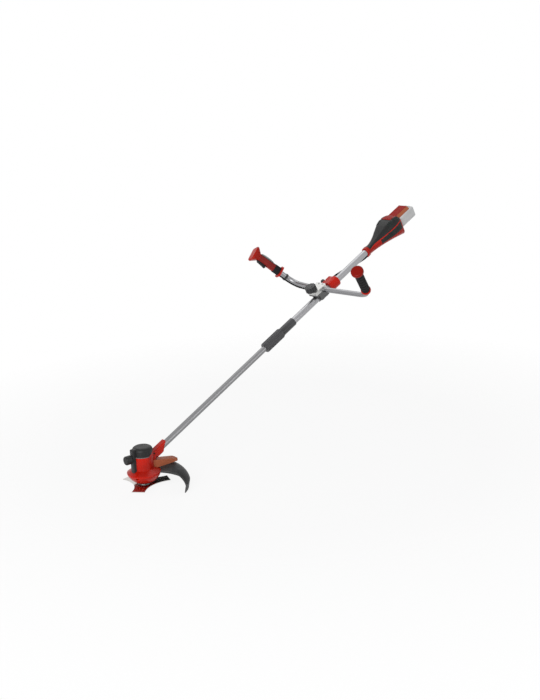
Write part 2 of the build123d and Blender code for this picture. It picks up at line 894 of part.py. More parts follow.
with BuildPart() as connector_plug:
    add(rod(shaft_plane(plug_start), lower_tube_radius - tube_wall - fit_gap, plug_length))
    with BuildSketch(shaft_plane(lower_tube_end)):
        with PolarLocations(pin_circle, plug_pins):
            Circle(pin_radius)
    extrude(amount=pin_length + tube_end_gap)
save(connector_plug, "connector_plug")

with BuildPart() as connector_socket:
    add(rod(shaft_plane(socket_start), upper_tube_radius - tube_wall - fit_gap, plug_length))
    with BuildSketch(shaft_plane(socket_start)):
        with PolarLocations(pin_circle, plug_pins):
            Circle(pin_radius + slide_gap)
    extrude(amount=pin_length + tube_wall, mode=Mode.SUBTRACT)
save(connector_socket, "connector_socket")

# Handlebar clamp

clamp_front = clamp_at - clamp_nose
clamp_length = clamp_nose + clamp_half_length
clamp_middle = clamp_front + clamp_length / 2
cap_top = bar_rise + clamp_cap_height
bar_line = Plane(
    origin=bar_point(-2 * clamp_half_width, 0, 0), x_dir=shaft_dir, z_dir=right
)
strap_length = strap_nose + clamp_half_length
strap_middle = clamp_at - strap_nose + strap_length / 2
strap_screw_stations = (strap_middle - strap_screw_spread / 2, strap_middle + strap_screw_spread / 2)
saddle_low = split_gap / 2
saddle_high = bar_rise - split_gap / 2
nose_overhang = clamp_nose - strap_nose
cap_screw_at = clamp_at + cap_screw_back

with BuildPart() as clamp_saddle:
    add(block(
        shaft_top_plane(clamp_middle, 0, saddle_low),
        2 * clamp_half_width, clamp_length, saddle_high - saddle_low, clamp_round,
    ))
    add(rod(shaft_plane(clamp_front), upper_tube_radius + fit_gap, clamp_length), mode=Mode.SUBTRACT)
    add(rod(bar_line, bar_radius + run_gap, 4 * clamp_half_width), mode=Mode.SUBTRACT)
    under_nose = shaft_top_plane(clamp_front, 0, 0)
    add(block(under_nose, 3 * clamp_half_width, 2 * nose_overhang, nose_floor), mode=Mode.SUBTRACT)
    bolt_hole = shaft_top_plane(knob_at, knob_across, saddle_high)
    add(rod(bolt_hole, knob_bolt_radius + run_gap, -saddle_high), mode=Mode.SUBTRACT)
    for station in strap_screw_stations:
        for side in (-1, 1):
            hole = shaft_top_plane(station, side * strap_screw_across, saddle_low)
            add(rod(hole, screw_radius + fit_gap, strap_thread), mode=Mode.SUBTRACT)
    for side in (-1, 1):
        hole = shaft_top_plane(cap_screw_at, side * strap_screw_across / 2, saddle_high)
        add(rod(hole, screw_radius + fit_gap, -cap_thread), mode=Mode.SUBTRACT)
save(clamp_saddle, "clamp_saddle")

with BuildPart() as clamp_cap:
    cap_low = bar_rise + split_gap / 2
    add(block(
        shaft_top_plane(clamp_middle, 0, cap_low),
        2 * clamp_half_width, clamp_length, cap_top - cap_low, clamp_round,
    ))
    add(rod(bar_line, bar_radius + run_gap, 4 * clamp_half_width), mode=Mode.SUBTRACT)
    bolt_hole = shaft_top_plane(knob_at, knob_across, cap_low)
    add(rod(bolt_hole, knob_bolt_radius + run_gap, cap_top), mode=Mode.SUBTRACT)
    for side in (-1, 1):
        hole = shaft_top_plane(cap_screw_at, side * strap_screw_across / 2, cap_low)
        add(rod(hole, screw_radius + fit_gap, cap_top), mode=Mode.SUBTRACT)
save(clamp_cap, "clamp_cap")

with BuildPart() as clamp_strap:
    strap_front = clamp_at - strap_nose
    add(block(
        shaft_top_plane(strap_middle, 0, -strap_wing),
        2 * strap_half_width, strap_length, strap_wing, clamp_round,
    ))
    add(rod(shaft_plane(strap_front), upper_tube_radius + strap_wall, strap_length))
    split(bisect_by=shaft_top_plane(strap_middle, 0, -split_gap / 2), keep=Keep.BOTTOM)
    add(rod(shaft_plane(strap_front), upper_tube_radius + fit_gap, strap_length), mode=Mode.SUBTRACT)
    for station in strap_screw_stations:
        for side in (-1, 1):
            hole = shaft_top_plane(station, side * strap_screw_across, -strap_wing)
            add(rod(hole, screw_radius + fit_gap, strap_wing), mode=Mode.SUBTRACT)
save(clamp_strap, "clamp_strap")

with BuildPart() as clamp_screws:
    for station in strap_screw_stations:
        for side in (-1, 1):
            seat = shaft_top_plane(station, side * strap_screw_across, -strap_wing)
            under_strap = Plane(origin=seat.origin, x_dir=seat.x_dir, z_dir=seat.z_dir * -1)
            add(screw(under_strap, strap_wing + strap_thread - fit_gap))
    for side in (-1, 1):
        seat = shaft_top_plane(cap_screw_at, side * strap_screw_across / 2, cap_top)
        add(screw(seat, clamp_cap_height + cap_thread - fit_gap))
save(clamp_screws, "clamp_screws")

with BuildPart() as star_knob:
    knob_base = shaft_top_plane(knob_at, knob_across, cap_top + fit_gap)
    with BuildSketch(knob_base):
        Circle(knob_radius)
        with PolarLocations(knob_radius - knob_lobe / 3, knob_lobes):
            Circle(knob_lobe)
    extrude(amount=knob_height)
    fillet(star_knob.faces().sort_by(Axis(knob_base.origin, knob_base.z_dir))[-1].edges(), knob_lobe / 3)
    add(rod(knob_base, knob_bolt_radius, -knob_bolt_depth))
save(star_knob, "star_knob")

# Handlebar

right_bar_end = handle_start + bar_depth
left_cap_start = left_length - left_cap_length
left_bar_end = left_length - left_cap_length / 2

with BuildPart() as handlebar:
    with BuildLine() as bar_path:
        FilletPolyline(
            left_bend + left_dir * left_bar_end,
            left_bend,
            bar_point(-bar_straight, 0, 0),
            bar_point(bar_straight, 0, 0),
            right_bend,
            right_bend + right_dir * right_bar_end,
            radius=[bend_radius, sweep_radius, sweep_radius, bend_radius],
        )
    with BuildSketch(bar_path.line ^ 0):
        Circle(bar_radius)
        Circle(bar_radius - bar_wall, mode=Mode.SUBTRACT)
    sweep()
save(handlebar, "handlebar")

# Left grip

with BuildPart() as left_grip:
    grip_span = left_cap_start - left_grip_start
    add(rod(left_plane(left_grip_start), left_grip_radius, grip_span))
    ridge_pitch = grip_span / left_grip_ridges
    for ridge in range(left_grip_ridges):
        ridge_at = left_grip_start + ridge_pitch * (ridge + 0.25)
        add(rod(left_plane(ridge_at), left_grip_radius + left_grip_ridge, ridge_pitch / 2))
    add(rod(left_plane(left_grip_start), bar_radius + fit_gap, grip_span), mode=Mode.SUBTRACT)
save(left_grip, "left_grip")

with BuildPart() as left_collar:
    collar_start = left_grip_start - left_collar_length
    add(sleeve(left_plane(collar_start), left_collar_radius, bar_radius + fit_gap, left_collar_length))
save(left_collar, "left_collar")

with BuildPart() as left_end_cap:
    add(rod(left_plane(left_cap_start), left_cap_radius, left_cap_length))
    cap_axis = Axis(left_plane(left_cap_start).origin, left_dir)
    fillet(left_end_cap.faces().sort_by(cap_axis)[-1].edges(), left_cap_length / 2)
    fillet(left_end_cap.faces().sort_by(cap_axis)[0].edges(), left_cap_length / 5)
    bar_room = left_bar_end - left_cap_start + fit_gap
    add(rod(left_plane(left_cap_start), bar_radius + fit_gap, bar_room), mode=Mode.SUBTRACT)
save(left_end_cap, "left_end_cap")

# Right control handle

flare_start = handle_length - flare_cap - flare_length
side_plane = handle_side_plane()
hollow_end = bar_depth + hollow_length
trigger_foot = trigger_pivot_height - trigger_reach
lever_tip = lever_pivot_height + lever_reach
trigger_slot = trigger_foot - slot_lead
lever_slot = lever_pivot_height - slot_lead
lever_slot_end = lever_tip + 2 * free_gap


def side_point(front, height):
    """A point on the handle's middle plane."""
    return side_plane.origin + side_plane.x_dir * front + side_plane.y_dir * height


def cross_pin(front, height, radius, half_length):
    """A pin across the handle."""
    start = side_point(front, height) - side_plane.z_dir * half_length
    return rod(Plane(origin=start, x_dir=side_plane.x_dir, z_dir=side_plane.z_dir), radius, 2 * half_length)


def handle_slot(front_low, front_high, height_low, height_high, half_width):
    """A slot through the handle's front or back wall, for the trigger or the lever."""
    with BuildPart() as slot:
        with BuildSketch(side_plane):
            with Locations(((front_low + front_high) / 2, (height_low + height_high) / 2)):
                Rectangle(front_high - front_low, height_high - height_low)
        extrude(amount=half_width, both=True)
    return slot.part


pin_half = handle_half_side - pin_cover

with BuildPart() as handle_body:
    with BuildSketch(handle_plane(0)):
        RectangleRounded(2 * flange_half_front, 2 * flange_half_side, handle_round)
    extrude(amount=flange_length)
    with BuildSketch(handle_plane(flange_length)):
        RectangleRounded(2 * handle_half_front, 2 * handle_half_side, handle_round)
    extrude(amount=flare_start - flange_length)
    with BuildSketch(handle_plane(flare_start)):
        RectangleRounded(2 * handle_half_front, 2 * handle_half_side, handle_round)
    with BuildSketch(handle_plane(flare_start + flare_length)):
        RectangleRounded(2 * flare_half_front, 2 * flare_half_side, handle_round)
    loft()
    with BuildSketch(handle_plane(flare_start + flare_length)):
        RectangleRounded(2 * flare_half_front, 2 * flare_half_side, handle_round)
    extrude(amount=flare_cap)
    end_axis = Axis(side_plane.origin, right_dir)
    fillet(handle_body.faces().sort_by(end_axis)[-1].edges(), flare_cap / 2)
    add(rod(handle_plane(0), bar_radius + fit_gap, bar_depth + fit_gap), mode=Mode.SUBTRACT)
    add(block(handle_plane(bar_depth), 2 * hollow_half, 2 * hollow_half, hollow_length), mode=Mode.SUBTRACT)
    trigger_room = trigger_half_width + free_gap
    add(handle_slot(0, 2 * flare_half_front, trigger_slot, hollow_end, trigger_room), mode=Mode.SUBTRACT)
    lever_room = lever_half_width + free_gap
    add(handle_slot(-2 * flare_half_front, 0, lever_slot, lever_slot_end, lever_room), mode=Mode.SUBTRACT)
    for front, height in (
        (trigger_pivot_front, trigger_pivot_height),
        (lever_pivot_front, lever_pivot_height),
    ):
        add(cross_pin(front, height, handle_pin_radius + fit_gap, pin_half + fit_gap), mode=Mode.SUBTRACT)

with BuildPart() as handle_shell_inner:
    add(handle_body.part)
    split(bisect_by=side_plane, keep=Keep.TOP)
save(handle_shell_inner, "handle_shell_inner")

with BuildPart() as handle_shell_outer:
    add(handle_body.part)
    split(bisect_by=side_plane, keep=Keep.BOTTOM)
save(handle_shell_outer, "handle_shell_outer")

with BuildPart() as grip_sleeve:
    for grow, mode in ((sleeve_wall, Mode.ADD), (fit_gap, Mode.SUBTRACT)):
        width = 2 * (handle_half_front + grow)
        depth = 2 * (handle_half_side + grow)
        round_radius = handle_round + grow
        add(block(handle_plane(flange_length), width, depth, sleeve_length, round_radius), mode=mode)
save(grip_sleeve, "grip_sleeve")

with BuildPart() as trigger:
    pivot = (trigger_pivot_front, trigger_pivot_height)
    face = handle_half_front
    foot = trigger_foot
    root = (face - trigger_depth, foot + trigger_root)
    heel = (face + trigger_bulge / 2, trigger_pivot_height)
    toe = (face + trigger_bulge, foot)
    with BuildSketch(side_plane):
        with BuildLine():
            Polyline(
                root,
                (face + trigger_bulge / 6, foot + 2 * trigger_lip),
                (face + trigger_bulge - trigger_lip, foot - trigger_lip),
                toe,
            )
            SagittaArc(toe, heel, trigger_lip / 4)
            Polyline(
                heel,
                (trigger_pivot_front, trigger_pivot_height + 2 * handle_pin_radius),
                (trigger_pivot_front - 2 * handle_pin_radius, trigger_pivot_height),
                root,
            )
        make_face()
        with Locations(pivot):
            Circle(handle_pin_radius + run_gap, mode=Mode.SUBTRACT)
    extrude(amount=trigger_half_width, both=True)
save(trigger, "trigger")

with BuildPart() as lock_lever:
    pivot = (lever_pivot_front, lever_pivot_height)
    rear_face = -handle_half_front
    lever_foot = (rear_face - lever_bulge / 3, lever_pivot_height)
    lever_end = (rear_face - lever_bulge / 2, lever_tip)
    with BuildSketch(side_plane):
        with BuildLine():
            Polyline(
                (lever_pivot_front + 2 * handle_pin_radius, lever_pivot_height),
                (lever_pivot_front, lever_pivot_height - 2 * handle_pin_radius),
                lever_foot,
            )
            SagittaArc(lever_foot, lever_end, lever_sag)
            Polyline(
                lever_end,
                (rear_face + lever_depth, lever_tip),
                (lever_pivot_front + 2 * handle_pin_radius, lever_pivot_height),
            )
        make_face()
        with Locations(pivot):
            Circle(handle_pin_radius + run_gap, mode=Mode.SUBTRACT)
    extrude(amount=lever_half_width, both=True)
save(lock_lever, "lock_lever")

with BuildPart() as handle_pins:
    add(cross_pin(trigger_pivot_front, trigger_pivot_height, handle_pin_radius, pin_half))
    add(cross_pin(lever_pivot_front, lever_pivot_height, handle_pin_radius, pin_half))
save(handle_pins, "handle_pins")

with BuildPart() as handle_switch:
    switch_width = 2 * (hollow_half - fit_gap)
    add(block(handle_plane(bar_depth + fit_gap), 2 * switch_half, switch_width, hollow_length / 3))
save(handle_switch, "handle_switch")

# Harness clamp with its eyelet

harness_start = harness_at - harness_length / 2
eye_low = harness_at - eye_thickness / 2


def cable_offsets(angle):
    """Where the cable's axis lies across and above the shaft axis, at an angle round the shaft."""
    return cable_seat * cos(radians(angle)), cable_seat * sin(radians(angle))


seat_across, seat_up = cable_offsets(cable_seat_angle)

with BuildPart() as harness_clamp:
    with BuildSketch(shaft_plane(harness_start)):
        Circle(harness_radius)
        with Locations((harness_ear / 2, 0)):
            RectangleRounded(harness_ear, 2 * harness_ear_half_height, harness_round)
            Rectangle(harness_ear + harness_slit, harness_slit, mode=Mode.SUBTRACT)
        Circle(upper_tube_radius + fit_gap, mode=Mode.SUBTRACT)
        with Locations((seat_across, seat_up)):
            Circle(cable_radius + fit_gap, mode=Mode.SUBTRACT)
    extrude(amount=harness_length)
    slot_half = eye_thickness / 2 + fit_gap
    slot_across = (eye_root + harness_ear + harness_slit) / 2
    add(block(
        shaft_plane(harness_at - slot_half, slot_across),
        harness_ear - eye_root + harness_slit, 3 * harness_ear_half_height, 2 * slot_half,
    ), mode=Mode.SUBTRACT)
save(harness_clamp, "harness_clamp")

with BuildPart() as harness_eyelet:
    with BuildSketch(shaft_plane(eye_low)):
        with Locations((eye_across, 0)):
            Circle(eye_radius + eye_rim)
        with Locations(((eye_root + eye_across) / 2 + fit_gap, 0)):
            Rectangle(eye_across - eye_root, 2 * eye_half_height)
        with Locations((eye_across, 0)):
            Circle(eye_radius, mode=Mode.SUBTRACT)
    extrude(amount=eye_thickness)
save(harness_eyelet, "harness_eyelet")

# Control cable, from the right handle along the bar to the harness clamp and the rear collar

arm_root = bar_point(bar_straight, 0, 0)
arm_length = (right_bend - arm_root).length
arm_dir = (right_bend - arm_root).normalized()
turn_cos = right_dir.dot(arm_dir)
arm_under = (arm_dir * turn_cos - right_dir).normalized()
grip_outer = (arm_dir - right_dir * turn_cos).normalized()
corner_out = (arm_dir - right_dir).normalized()
half_turn_cos = ((1 + turn_cos) / 2) ** 0.5
beside = right_dir.cross(arm_dir).normalized() * (cable_offset * cos(radians(cable_turn)))
cable_out = cable_offset * sin(radians(cable_turn))
cable_corner = right_bend + beside + corner_out * (cable_out / half_turn_cos)
cable_start = right_bend + beside + right_dir * handle_start + grip_outer * cable_out
leave_share = arm_length - (right_reach - cable_leave)
cable_leaves = arm_root + beside + arm_dir * leave_share + arm_under * cable_out
cable_seat_front = shaft_point(harness_start, seat_across, seat_up)

with BuildPart() as control_cable_bar:
    with BuildLine() as cable_path:
        FilletPolyline(cable_start, cable_corner, cable_leaves, radius=bend_radius + cable_out)
    with BuildSketch(cable_path.line ^ 0):
        Circle(cable_radius)
    sweep()
save(control_cable_bar, "control_cable_bar")

with BuildPart() as control_cable_loop:
    with BuildLine() as loop_path:
        loop_points = [
            cable_leaves,
            cable_leaves - arm_dir * loop_lead,
            bar_point(loop_across, -loop_drop, loop_back),
            cable_seat_front - shaft_dir * loop_lead,
            cable_seat_front,
        ]
        FilletPolyline(*loop_points, radius=loop_bend)
    with BuildSketch(loop_path.line ^ 0):
        Circle(cable_radius)
    sweep()
save(control_cable_loop, "control_cable_loop")

with BuildPart() as control_cable_shaft:
    wrap_start = harness_start + harness_length + wrap_lead
    wrap_end = rear_start - wrap_lead
    with BuildLine() as shaft_run:
        run_points = [cable_seat_front]
        for step in range(wrap_steps + 1):
            share = step / wrap_steps
            station = wrap_start + (wrap_end - wrap_start) * share
            angle = cable_seat_angle + (collar_seat_angle - cable_seat_angle) * share
            run_points.append(shaft_point(station, *cable_offsets(angle)))
        run_end = rear_start + collar_length / 2
        run_points.append(shaft_point(run_end, *cable_offsets(collar_seat_angle)))
        FilletPolyline(*run_points, radius=wrap_bend)
    with BuildSketch(shaft_run.line ^ 0):
        Circle(cable_radius)
    sweep()
save(control_cable_shaft, "control_cable_shaft")

with BuildPart() as cable_clip:
    clip_plane = grip_plane(right_bend, right_dir, clip_at)
    hump = Plane(
        origin=clip_plane.origin + beside + grip_outer * cable_out, x_dir=clip_plane.x_dir, z_dir=right_dir
    )
    add(rod(clip_plane, bar_radius + clip_wall, clip_width))
    add(rod(hump, cable_radius + clip_wall, clip_width))
    add(rod(clip_plane, bar_radius + fit_gap, clip_width), mode=Mode.SUBTRACT)
    add(rod(hump, cable_radius + fit_gap, clip_width), mode=Mode.SUBTRACT)
save(cable_clip, "cable_clip")

# Rear unit


def rear_form(grow, start, end):
    """The rear housing's outer shape, larger all round by a margin, between two stations."""
    sections = (
        (collar_length, front_half, front_half, front_half, round_share * front_half),
        (waist_at, waist_half_width, waist_top, waist_bottom, round_share * waist_top),
        (rear_length - swell_back, swell_half_width, swell_top, swell_bottom, rear_round),
        (rear_length, rear_half_width, rear_top, rear_bottom, rear_round),
    )
    with BuildPart() as form:
        for station, half_width, top, bottom, corner in sections:
            height = top + bottom + 2 * grow
            with BuildSketch(shaft_plane(rear_start + station, 0, (top - bottom) / 2)):
                RectangleRounded(2 * (half_width + grow), height, corner + grow)
        loft()
        split(bisect_by=shaft_plane(rear_start + start), keep=Keep.TOP)
        split(bisect_by=shaft_plane(rear_start + end), keep=Keep.BOTTOM)
    return form.part


rear_end = rear_start + rear_length
ridge_slope = (ridge_back - ridge_front) / (rear_length - collar_length)
ridge_normal = (shaft_up - shaft_dir * ridge_slope).normalized()
ridge_plane = Plane(
    origin=shaft_point(rear_start + collar_length, 0, ridge_front), x_dir=right, z_dir=ridge_normal
)

with BuildPart() as rear_collar:
    add(sleeve(shaft_plane(rear_start), collar_radius, upper_tube_radius + fit_gap, collar_length))
    outer_edges = rear_collar.edges().filter_by(GeomType.CIRCLE).sort_by(SortBy.RADIUS)[-2:]
    fillet(outer_edges, collar_length / 6)
    cable_seat_plane = shaft_plane(rear_start, *cable_offsets(collar_seat_angle))
    add(rod(cable_seat_plane, cable_radius + clip_wall, collar_length))
    add(rod(cable_seat_plane, cable_radius + fit_gap, collar_length / 2), mode=Mode.SUBTRACT)
    add(rod(shaft_plane(rear_start), upper_tube_radius + fit_gap, collar_length), mode=Mode.SUBTRACT)
save(rear_collar, "rear_collar")

with BuildPart() as rear_housing:
    add(rear_form(0, collar_length, rear_length))
    hollow_from = upper_tube_end - rear_start + rear_wall
    add(rear_form(-rear_wall, hollow_from, rear_length - rear_end_wall), mode=Mode.SUBTRACT)
    tube_from = rear_start + collar_length
    tube_room = upper_tube_radius + fit_gap
    add(rod(shaft_plane(tube_from), tube_room, upper_tube_end - tube_from), mode=Mode.SUBTRACT)
    add(rod(shaft_plane(upper_tube_end), lead_hole, 2 * rear_wall), mode=Mode.SUBTRACT)

with BuildPart() as rear_top_cover:
    add(rear_housing.part)
    split(bisect_by=ridge_plane, keep=Keep.TOP)
save(rear_top_cover, "rear_top_cover")

with BuildPart() as rear_lower:
    add(rear_housing.part)
    split(bisect_by=ridge_plane, keep=Keep.BOTTOM)

with BuildPart() as rear_shell_left:
    add(rear_lower.part)
    split(bisect_by=Plane.XZ, keep=Keep.TOP)
save(rear_shell_left, "rear_shell_left")

with BuildPart() as rear_shell_right:
    add(rear_lower.part)
    split(bisect_by=Plane.XZ, keep=Keep.BOTTOM)
save(rear_shell_right, "rear_shell_right")


def rear_skin(start, end):
    """A thin skin lying on the rear housing between two stations."""
    with BuildPart() as layer:
        add(rear_form(skin, start, end))
        add(rear_form(fit_gap / 2, start - skin, end + skin), mode=Mode.SUBTRACT)
    return layer.part


def vent_panel(back, across, up, width, height, slot_width, slot_height):
    """A slotted panel on the rear housing, where a box of the given middle and size meets its skin."""
    start = rear_length - back - vent_length / 2
    pitch = vent_length / vent_slots
    outline = block(shaft_plane(rear_start + start, across, up), width, height, vent_length)
    with BuildPart() as panel:
        add(rear_skin(start, start + vent_length))
        add(outline, mode=Mode.INTERSECT)
        for slot in range(vent_slots):
            slot_start = rear_start + start + pitch * slot + (pitch - vent_slot) / 2
            slot_plane = shaft_plane(slot_start, across, up)
            add(block(slot_plane, slot_width, slot_height, vent_slot), mode=Mode.SUBTRACT)
    return panel.part


with BuildPart() as vent_panels:
    for side in (-1, 1):
        for back in lower_vents:
            slot_height = lower_vent_height - 2 * vent_border
            add(vent_panel(
                back, side * rear_half_width, lower_vent_up,
                rear_half_width, lower_vent_height, rear_half_width, slot_height,
            ))
        for back in upper_vents:
            slot_width = upper_vent_width - 2 * vent_border
            add(vent_panel(
                back, side * upper_vent_across, rear_top,
                upper_vent_width, rear_top, slot_width, rear_top,
            ))
    add(rear_housing.part, mode=Mode.SUBTRACT)
save(vent_panels, "vent_panels")

with BuildPart() as rear_top_trim:
    trim_outline = block(shaft_plane(rear_end, 0, rear_top), 2 * trim_half_width, rear_top, -trim_length)
    add(rear_skin(rear_length - trim_length, rear_length))
    add(trim_outline, mode=Mode.INTERSECT)
    add(rear_housing.part, mode=Mode.SUBTRACT)
save(rear_top_trim, "rear_top_trim")

with BuildPart() as controller_board:
    board_end = rear_end - rear_end_wall
    board_length = swell_back - rear_end_wall
    board_plane = shaft_plane(board_end - board_length)
    part_plane = shaft_plane(board_end - board_length / 2, 0, (board_thickness + board_part) / 2)
    add(block(board_plane, 2 * board_half_width, board_thickness, board_length))
    add(block(part_plane, board_half_width, board_part, board_length / 3))
save(controller_board, "controller_board")

# Battery rail, terminals and pack

pack_start = rear_end + pack_gap
rail_low = pack_top + slide_gap
foot_top = pack_top - rail_drop + rail_foot_height
terminal_up = pack_split + terminal_height / 2 + terminal_lift

with BuildPart() as battery_rail:
    with BuildSketch(shaft_plane(rear_end)):
        with BuildLine():
            Polyline(
                (-rail_half_width, rail_low),
                (rail_half_width, rail_low),
                (rail_half_width, rail_low + rail_edge),
                (rail_crown_half_width, rail_crown),
                (-rail_crown_half_width, rail_crown),
                (-rail_half_width, rail_low + rail_edge),
                close=True,
            )
        make_face()
        with Locations((0, (rail_low + foot_top) / 2)):
            Rectangle(2 * rail_stem_half, rail_low - foot_top + 2 * slide_gap)
        with Locations((0, foot_top - rail_foot_height / 2)):
            Rectangle(2 * rail_foot_half, rail_foot_height)
    extrude(amount=rail_length)
save(battery_rail, "battery_rail")

with BuildPart() as terminal_block:
    add(block(
        shaft_plane(rear_end, 0, terminal_up), 2 * terminal_half_width, terminal_height, terminal_length
    ))
    for across in (-1, 0, 1):
        add(block(
            shaft_plane(rear_end, across * contact_pitch, terminal_up),
            terminal_half_width / 2, terminal_height / 4, blade_contact,
        ))
save(terminal_block, "terminal_block")

pack_height = pack_top - pack_bottom
cell_up = pack_bottom + pack_wall + cell_radius + fit_gap
first_cell = pack_start + pack_length / 2 - cell_pitch * (cell_count - 1) / 2

with BuildPart() as pack_body:
    middle_up = (pack_top + pack_bottom) / 2
    front_plane = shaft_plane(pack_start, 0, middle_up)
    add(block(front_plane, 2 * pack_half_width, pack_height, pack_length, pack_round))
    rear_edges = pack_body.faces().sort_by(Axis(elbow, shaft_dir))[-1].edges()
    fillet(rear_edges, pack_round / 2)
    slide_length = rail_length + 2 * slide_gap
    stem_height = pack_top - foot_top + rail_foot_height
    add(block(
        shaft_plane(pack_start, 0, foot_top + stem_height / 2),
        2 * (rail_stem_half + slide_gap), stem_height, slide_length,
    ), mode=Mode.SUBTRACT)
    add(block(
        shaft_plane(pack_start, 0, foot_top - rail_foot_height / 2),
        2 * (rail_foot_half + slide_gap), rail_foot_height + 2 * slide_gap, slide_length,
    ), mode=Mode.SUBTRACT)
    add(block(
        shaft_plane(pack_start, 0, terminal_up),
        2 * (terminal_half_width + free_gap), terminal_height + 2 * slide_gap, terminal_depth,
    ), mode=Mode.SUBTRACT)
    cell_room = 2 * (cell_radius + fit_gap)
    add(block(
        shaft_plane(first_cell - cell_radius - fit_gap, 0, cell_up),
        cell_length + 2 * fit_gap, cell_room, cell_pitch * (cell_count - 1) + cell_room,
    ), mode=Mode.SUBTRACT)
    latch_up = pack_top - latch_height / 2 - pack_wall
    add(block(
        shaft_plane(pack_start + pack_length, 0, latch_up),
        2 * (latch_half_width + slide_gap), latch_height + 2 * slide_gap, -latch_depth,
    ), mode=Mode.SUBTRACT)

split_plane = shaft_top_plane(pack_start, 0, pack_split)

with BuildPart() as battery_cover:
    add(pack_body.part)
    split(bisect_by=split_plane, keep=Keep.TOP)
save(battery_cover, "battery_cover")

with BuildPart() as battery_base:
    add(pack_body.part)
    split(bisect_by=split_plane, keep=Keep.BOTTOM)
save(battery_base, "battery_base")

with BuildPart() as battery_cells:
    for cell in range(cell_count):
        start = shaft_point(first_cell + cell * cell_pitch, -cell_length / 2, cell_up)
        add(rod(Plane(origin=start, x_dir=shaft_dir, z_dir=right), cell_radius, cell_length))
save(battery_cells, "battery_cells")

with BuildPart() as battery_latch:
    latch_inner = pack_start + pack_length - latch_depth + latch_proud + fit_gap
    add(block(
        shaft_plane(latch_inner, 0, latch_up),
        2 * latch_half_width, latch_height, latch_depth - fit_gap, latch_round,
    ))
save(battery_latch, "battery_latch")
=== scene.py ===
import json
from math import cos, radians, sin, sqrt

import bmesh
import bpy
from mathutils import Matrix, Vector


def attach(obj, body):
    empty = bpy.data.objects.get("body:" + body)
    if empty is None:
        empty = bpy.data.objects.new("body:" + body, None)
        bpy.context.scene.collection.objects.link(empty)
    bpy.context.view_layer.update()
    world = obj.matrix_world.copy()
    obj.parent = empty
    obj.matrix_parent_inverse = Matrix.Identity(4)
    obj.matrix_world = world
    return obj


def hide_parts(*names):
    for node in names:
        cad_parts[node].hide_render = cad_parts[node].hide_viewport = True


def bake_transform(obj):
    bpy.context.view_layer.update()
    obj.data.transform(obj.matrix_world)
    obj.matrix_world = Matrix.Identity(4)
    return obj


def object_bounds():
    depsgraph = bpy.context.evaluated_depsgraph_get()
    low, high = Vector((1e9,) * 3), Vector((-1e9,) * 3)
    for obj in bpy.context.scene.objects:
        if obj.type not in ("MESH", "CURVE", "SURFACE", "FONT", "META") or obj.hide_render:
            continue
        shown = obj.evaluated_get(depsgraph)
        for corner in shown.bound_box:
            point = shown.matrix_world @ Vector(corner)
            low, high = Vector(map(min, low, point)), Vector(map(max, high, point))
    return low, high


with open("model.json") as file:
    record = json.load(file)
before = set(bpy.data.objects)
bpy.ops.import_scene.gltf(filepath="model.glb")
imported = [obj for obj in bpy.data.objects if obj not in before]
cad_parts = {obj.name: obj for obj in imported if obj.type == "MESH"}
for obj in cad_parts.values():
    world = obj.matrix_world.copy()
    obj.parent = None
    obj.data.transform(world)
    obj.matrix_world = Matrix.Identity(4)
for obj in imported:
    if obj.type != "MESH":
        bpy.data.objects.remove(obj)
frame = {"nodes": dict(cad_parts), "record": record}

cad_low, cad_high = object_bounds()

# Sizes in metres, angles in degrees
shaft_rise = 27.0
elbow_height = 0.099          # of the elbow above the spindle's free end
can_top = 0.136               # height of the red can under the cap
can_radius = 0.040
bib_half_width = 0.011        # of the strip down the cap's front, behind the button
clamp_at = 1.110              # along the shaft from the elbow
knob_at = 1.070
knob_across = 0.006
knob_top = 0.0691             # of the star knob above the shaft axis
harness_start = 1.155
rear_start = 1.423
rear_length = 0.228
ridge_start = 0.018           # where the ridge line begins, behind the collar's front
ridge_front = 0.006           # height of the ridge line there, and at the rear end
ridge_back = 0.030

# Handlebar and control handle
bar_rise = 0.028              # of the bar above the shaft axis
bar_straight = 0.045          # where the arms begin, from the middle of the bar
right_reach = 0.192           # of the right bend from the middle of the bar
bend_up = -0.014
bend_back = 0.024
grip_slope = (0.075, 0.178, -0.067)   # right grip: outwards, upwards and backwards
handle_start = 0.084          # from the bend to the handle's inner end
deep_red_start = (0.036, 0.040)       # along the handle, where its dark red fades in and out
deep_red_end = (0.118, 0.124)
palm_low = 0.040              # ends of the palm pads along the handle
palm_high = 0.122
palm_depth = 0.008            # of their edges behind the handle's middle

# Control cable
cable_radius = 0.0035
cable_offset = 0.0152         # cable axis from the bar axis
cable_turn = 35.0             # of the cable round the bar
cable_seat = 0.020            # cable axis from the shaft axis
cable_seat_angle = 40.0       # round the shaft from its right side, at the harness clamp
cable_leave = 0.078           # where the cable leaves the bar, from the middle
loop_lead = 0.013             # straight run at each end of the free loop
loop_across = 0.052           # lowest corner of the loop, from the middle of the bar
loop_drop = 0.027
loop_back = 0.015

# Thin layers and rounded edges
panel_front = 0.089           # ends of the side panels along the rear unit
panel_back = 0.221
panel_low = -0.010            # lower edge of the side panels, from the shaft axis
bead_width = 0.0032
lip_height = 0.003
low_layer = 0.0008            # thickness of panels, pads and crown
high_layer = 0.0012           # thickness of beads and lip
round_share = 1 / 3           # of a layer's thickness, taken by its rounded edge
round_segments = 2
corner_angle = 40.0           # sharper corners than this are rounded
merge_distance = 0.00001      # points closer than this are one

# Insert in the star knob
insert_radius = 0.0125
insert_height = 0.0014
insert_dish = 0.0009          # depth of its dish, and of its seat in the knob
shoulder_share = 0.6          # of the height, where the rim starts to slope
crown_share = 0.95            # of the radius, outer and inner edge of the rim's flat top
rim_share = 0.8
dish_share = 0.7              # of the radius, edge of the dish's floor

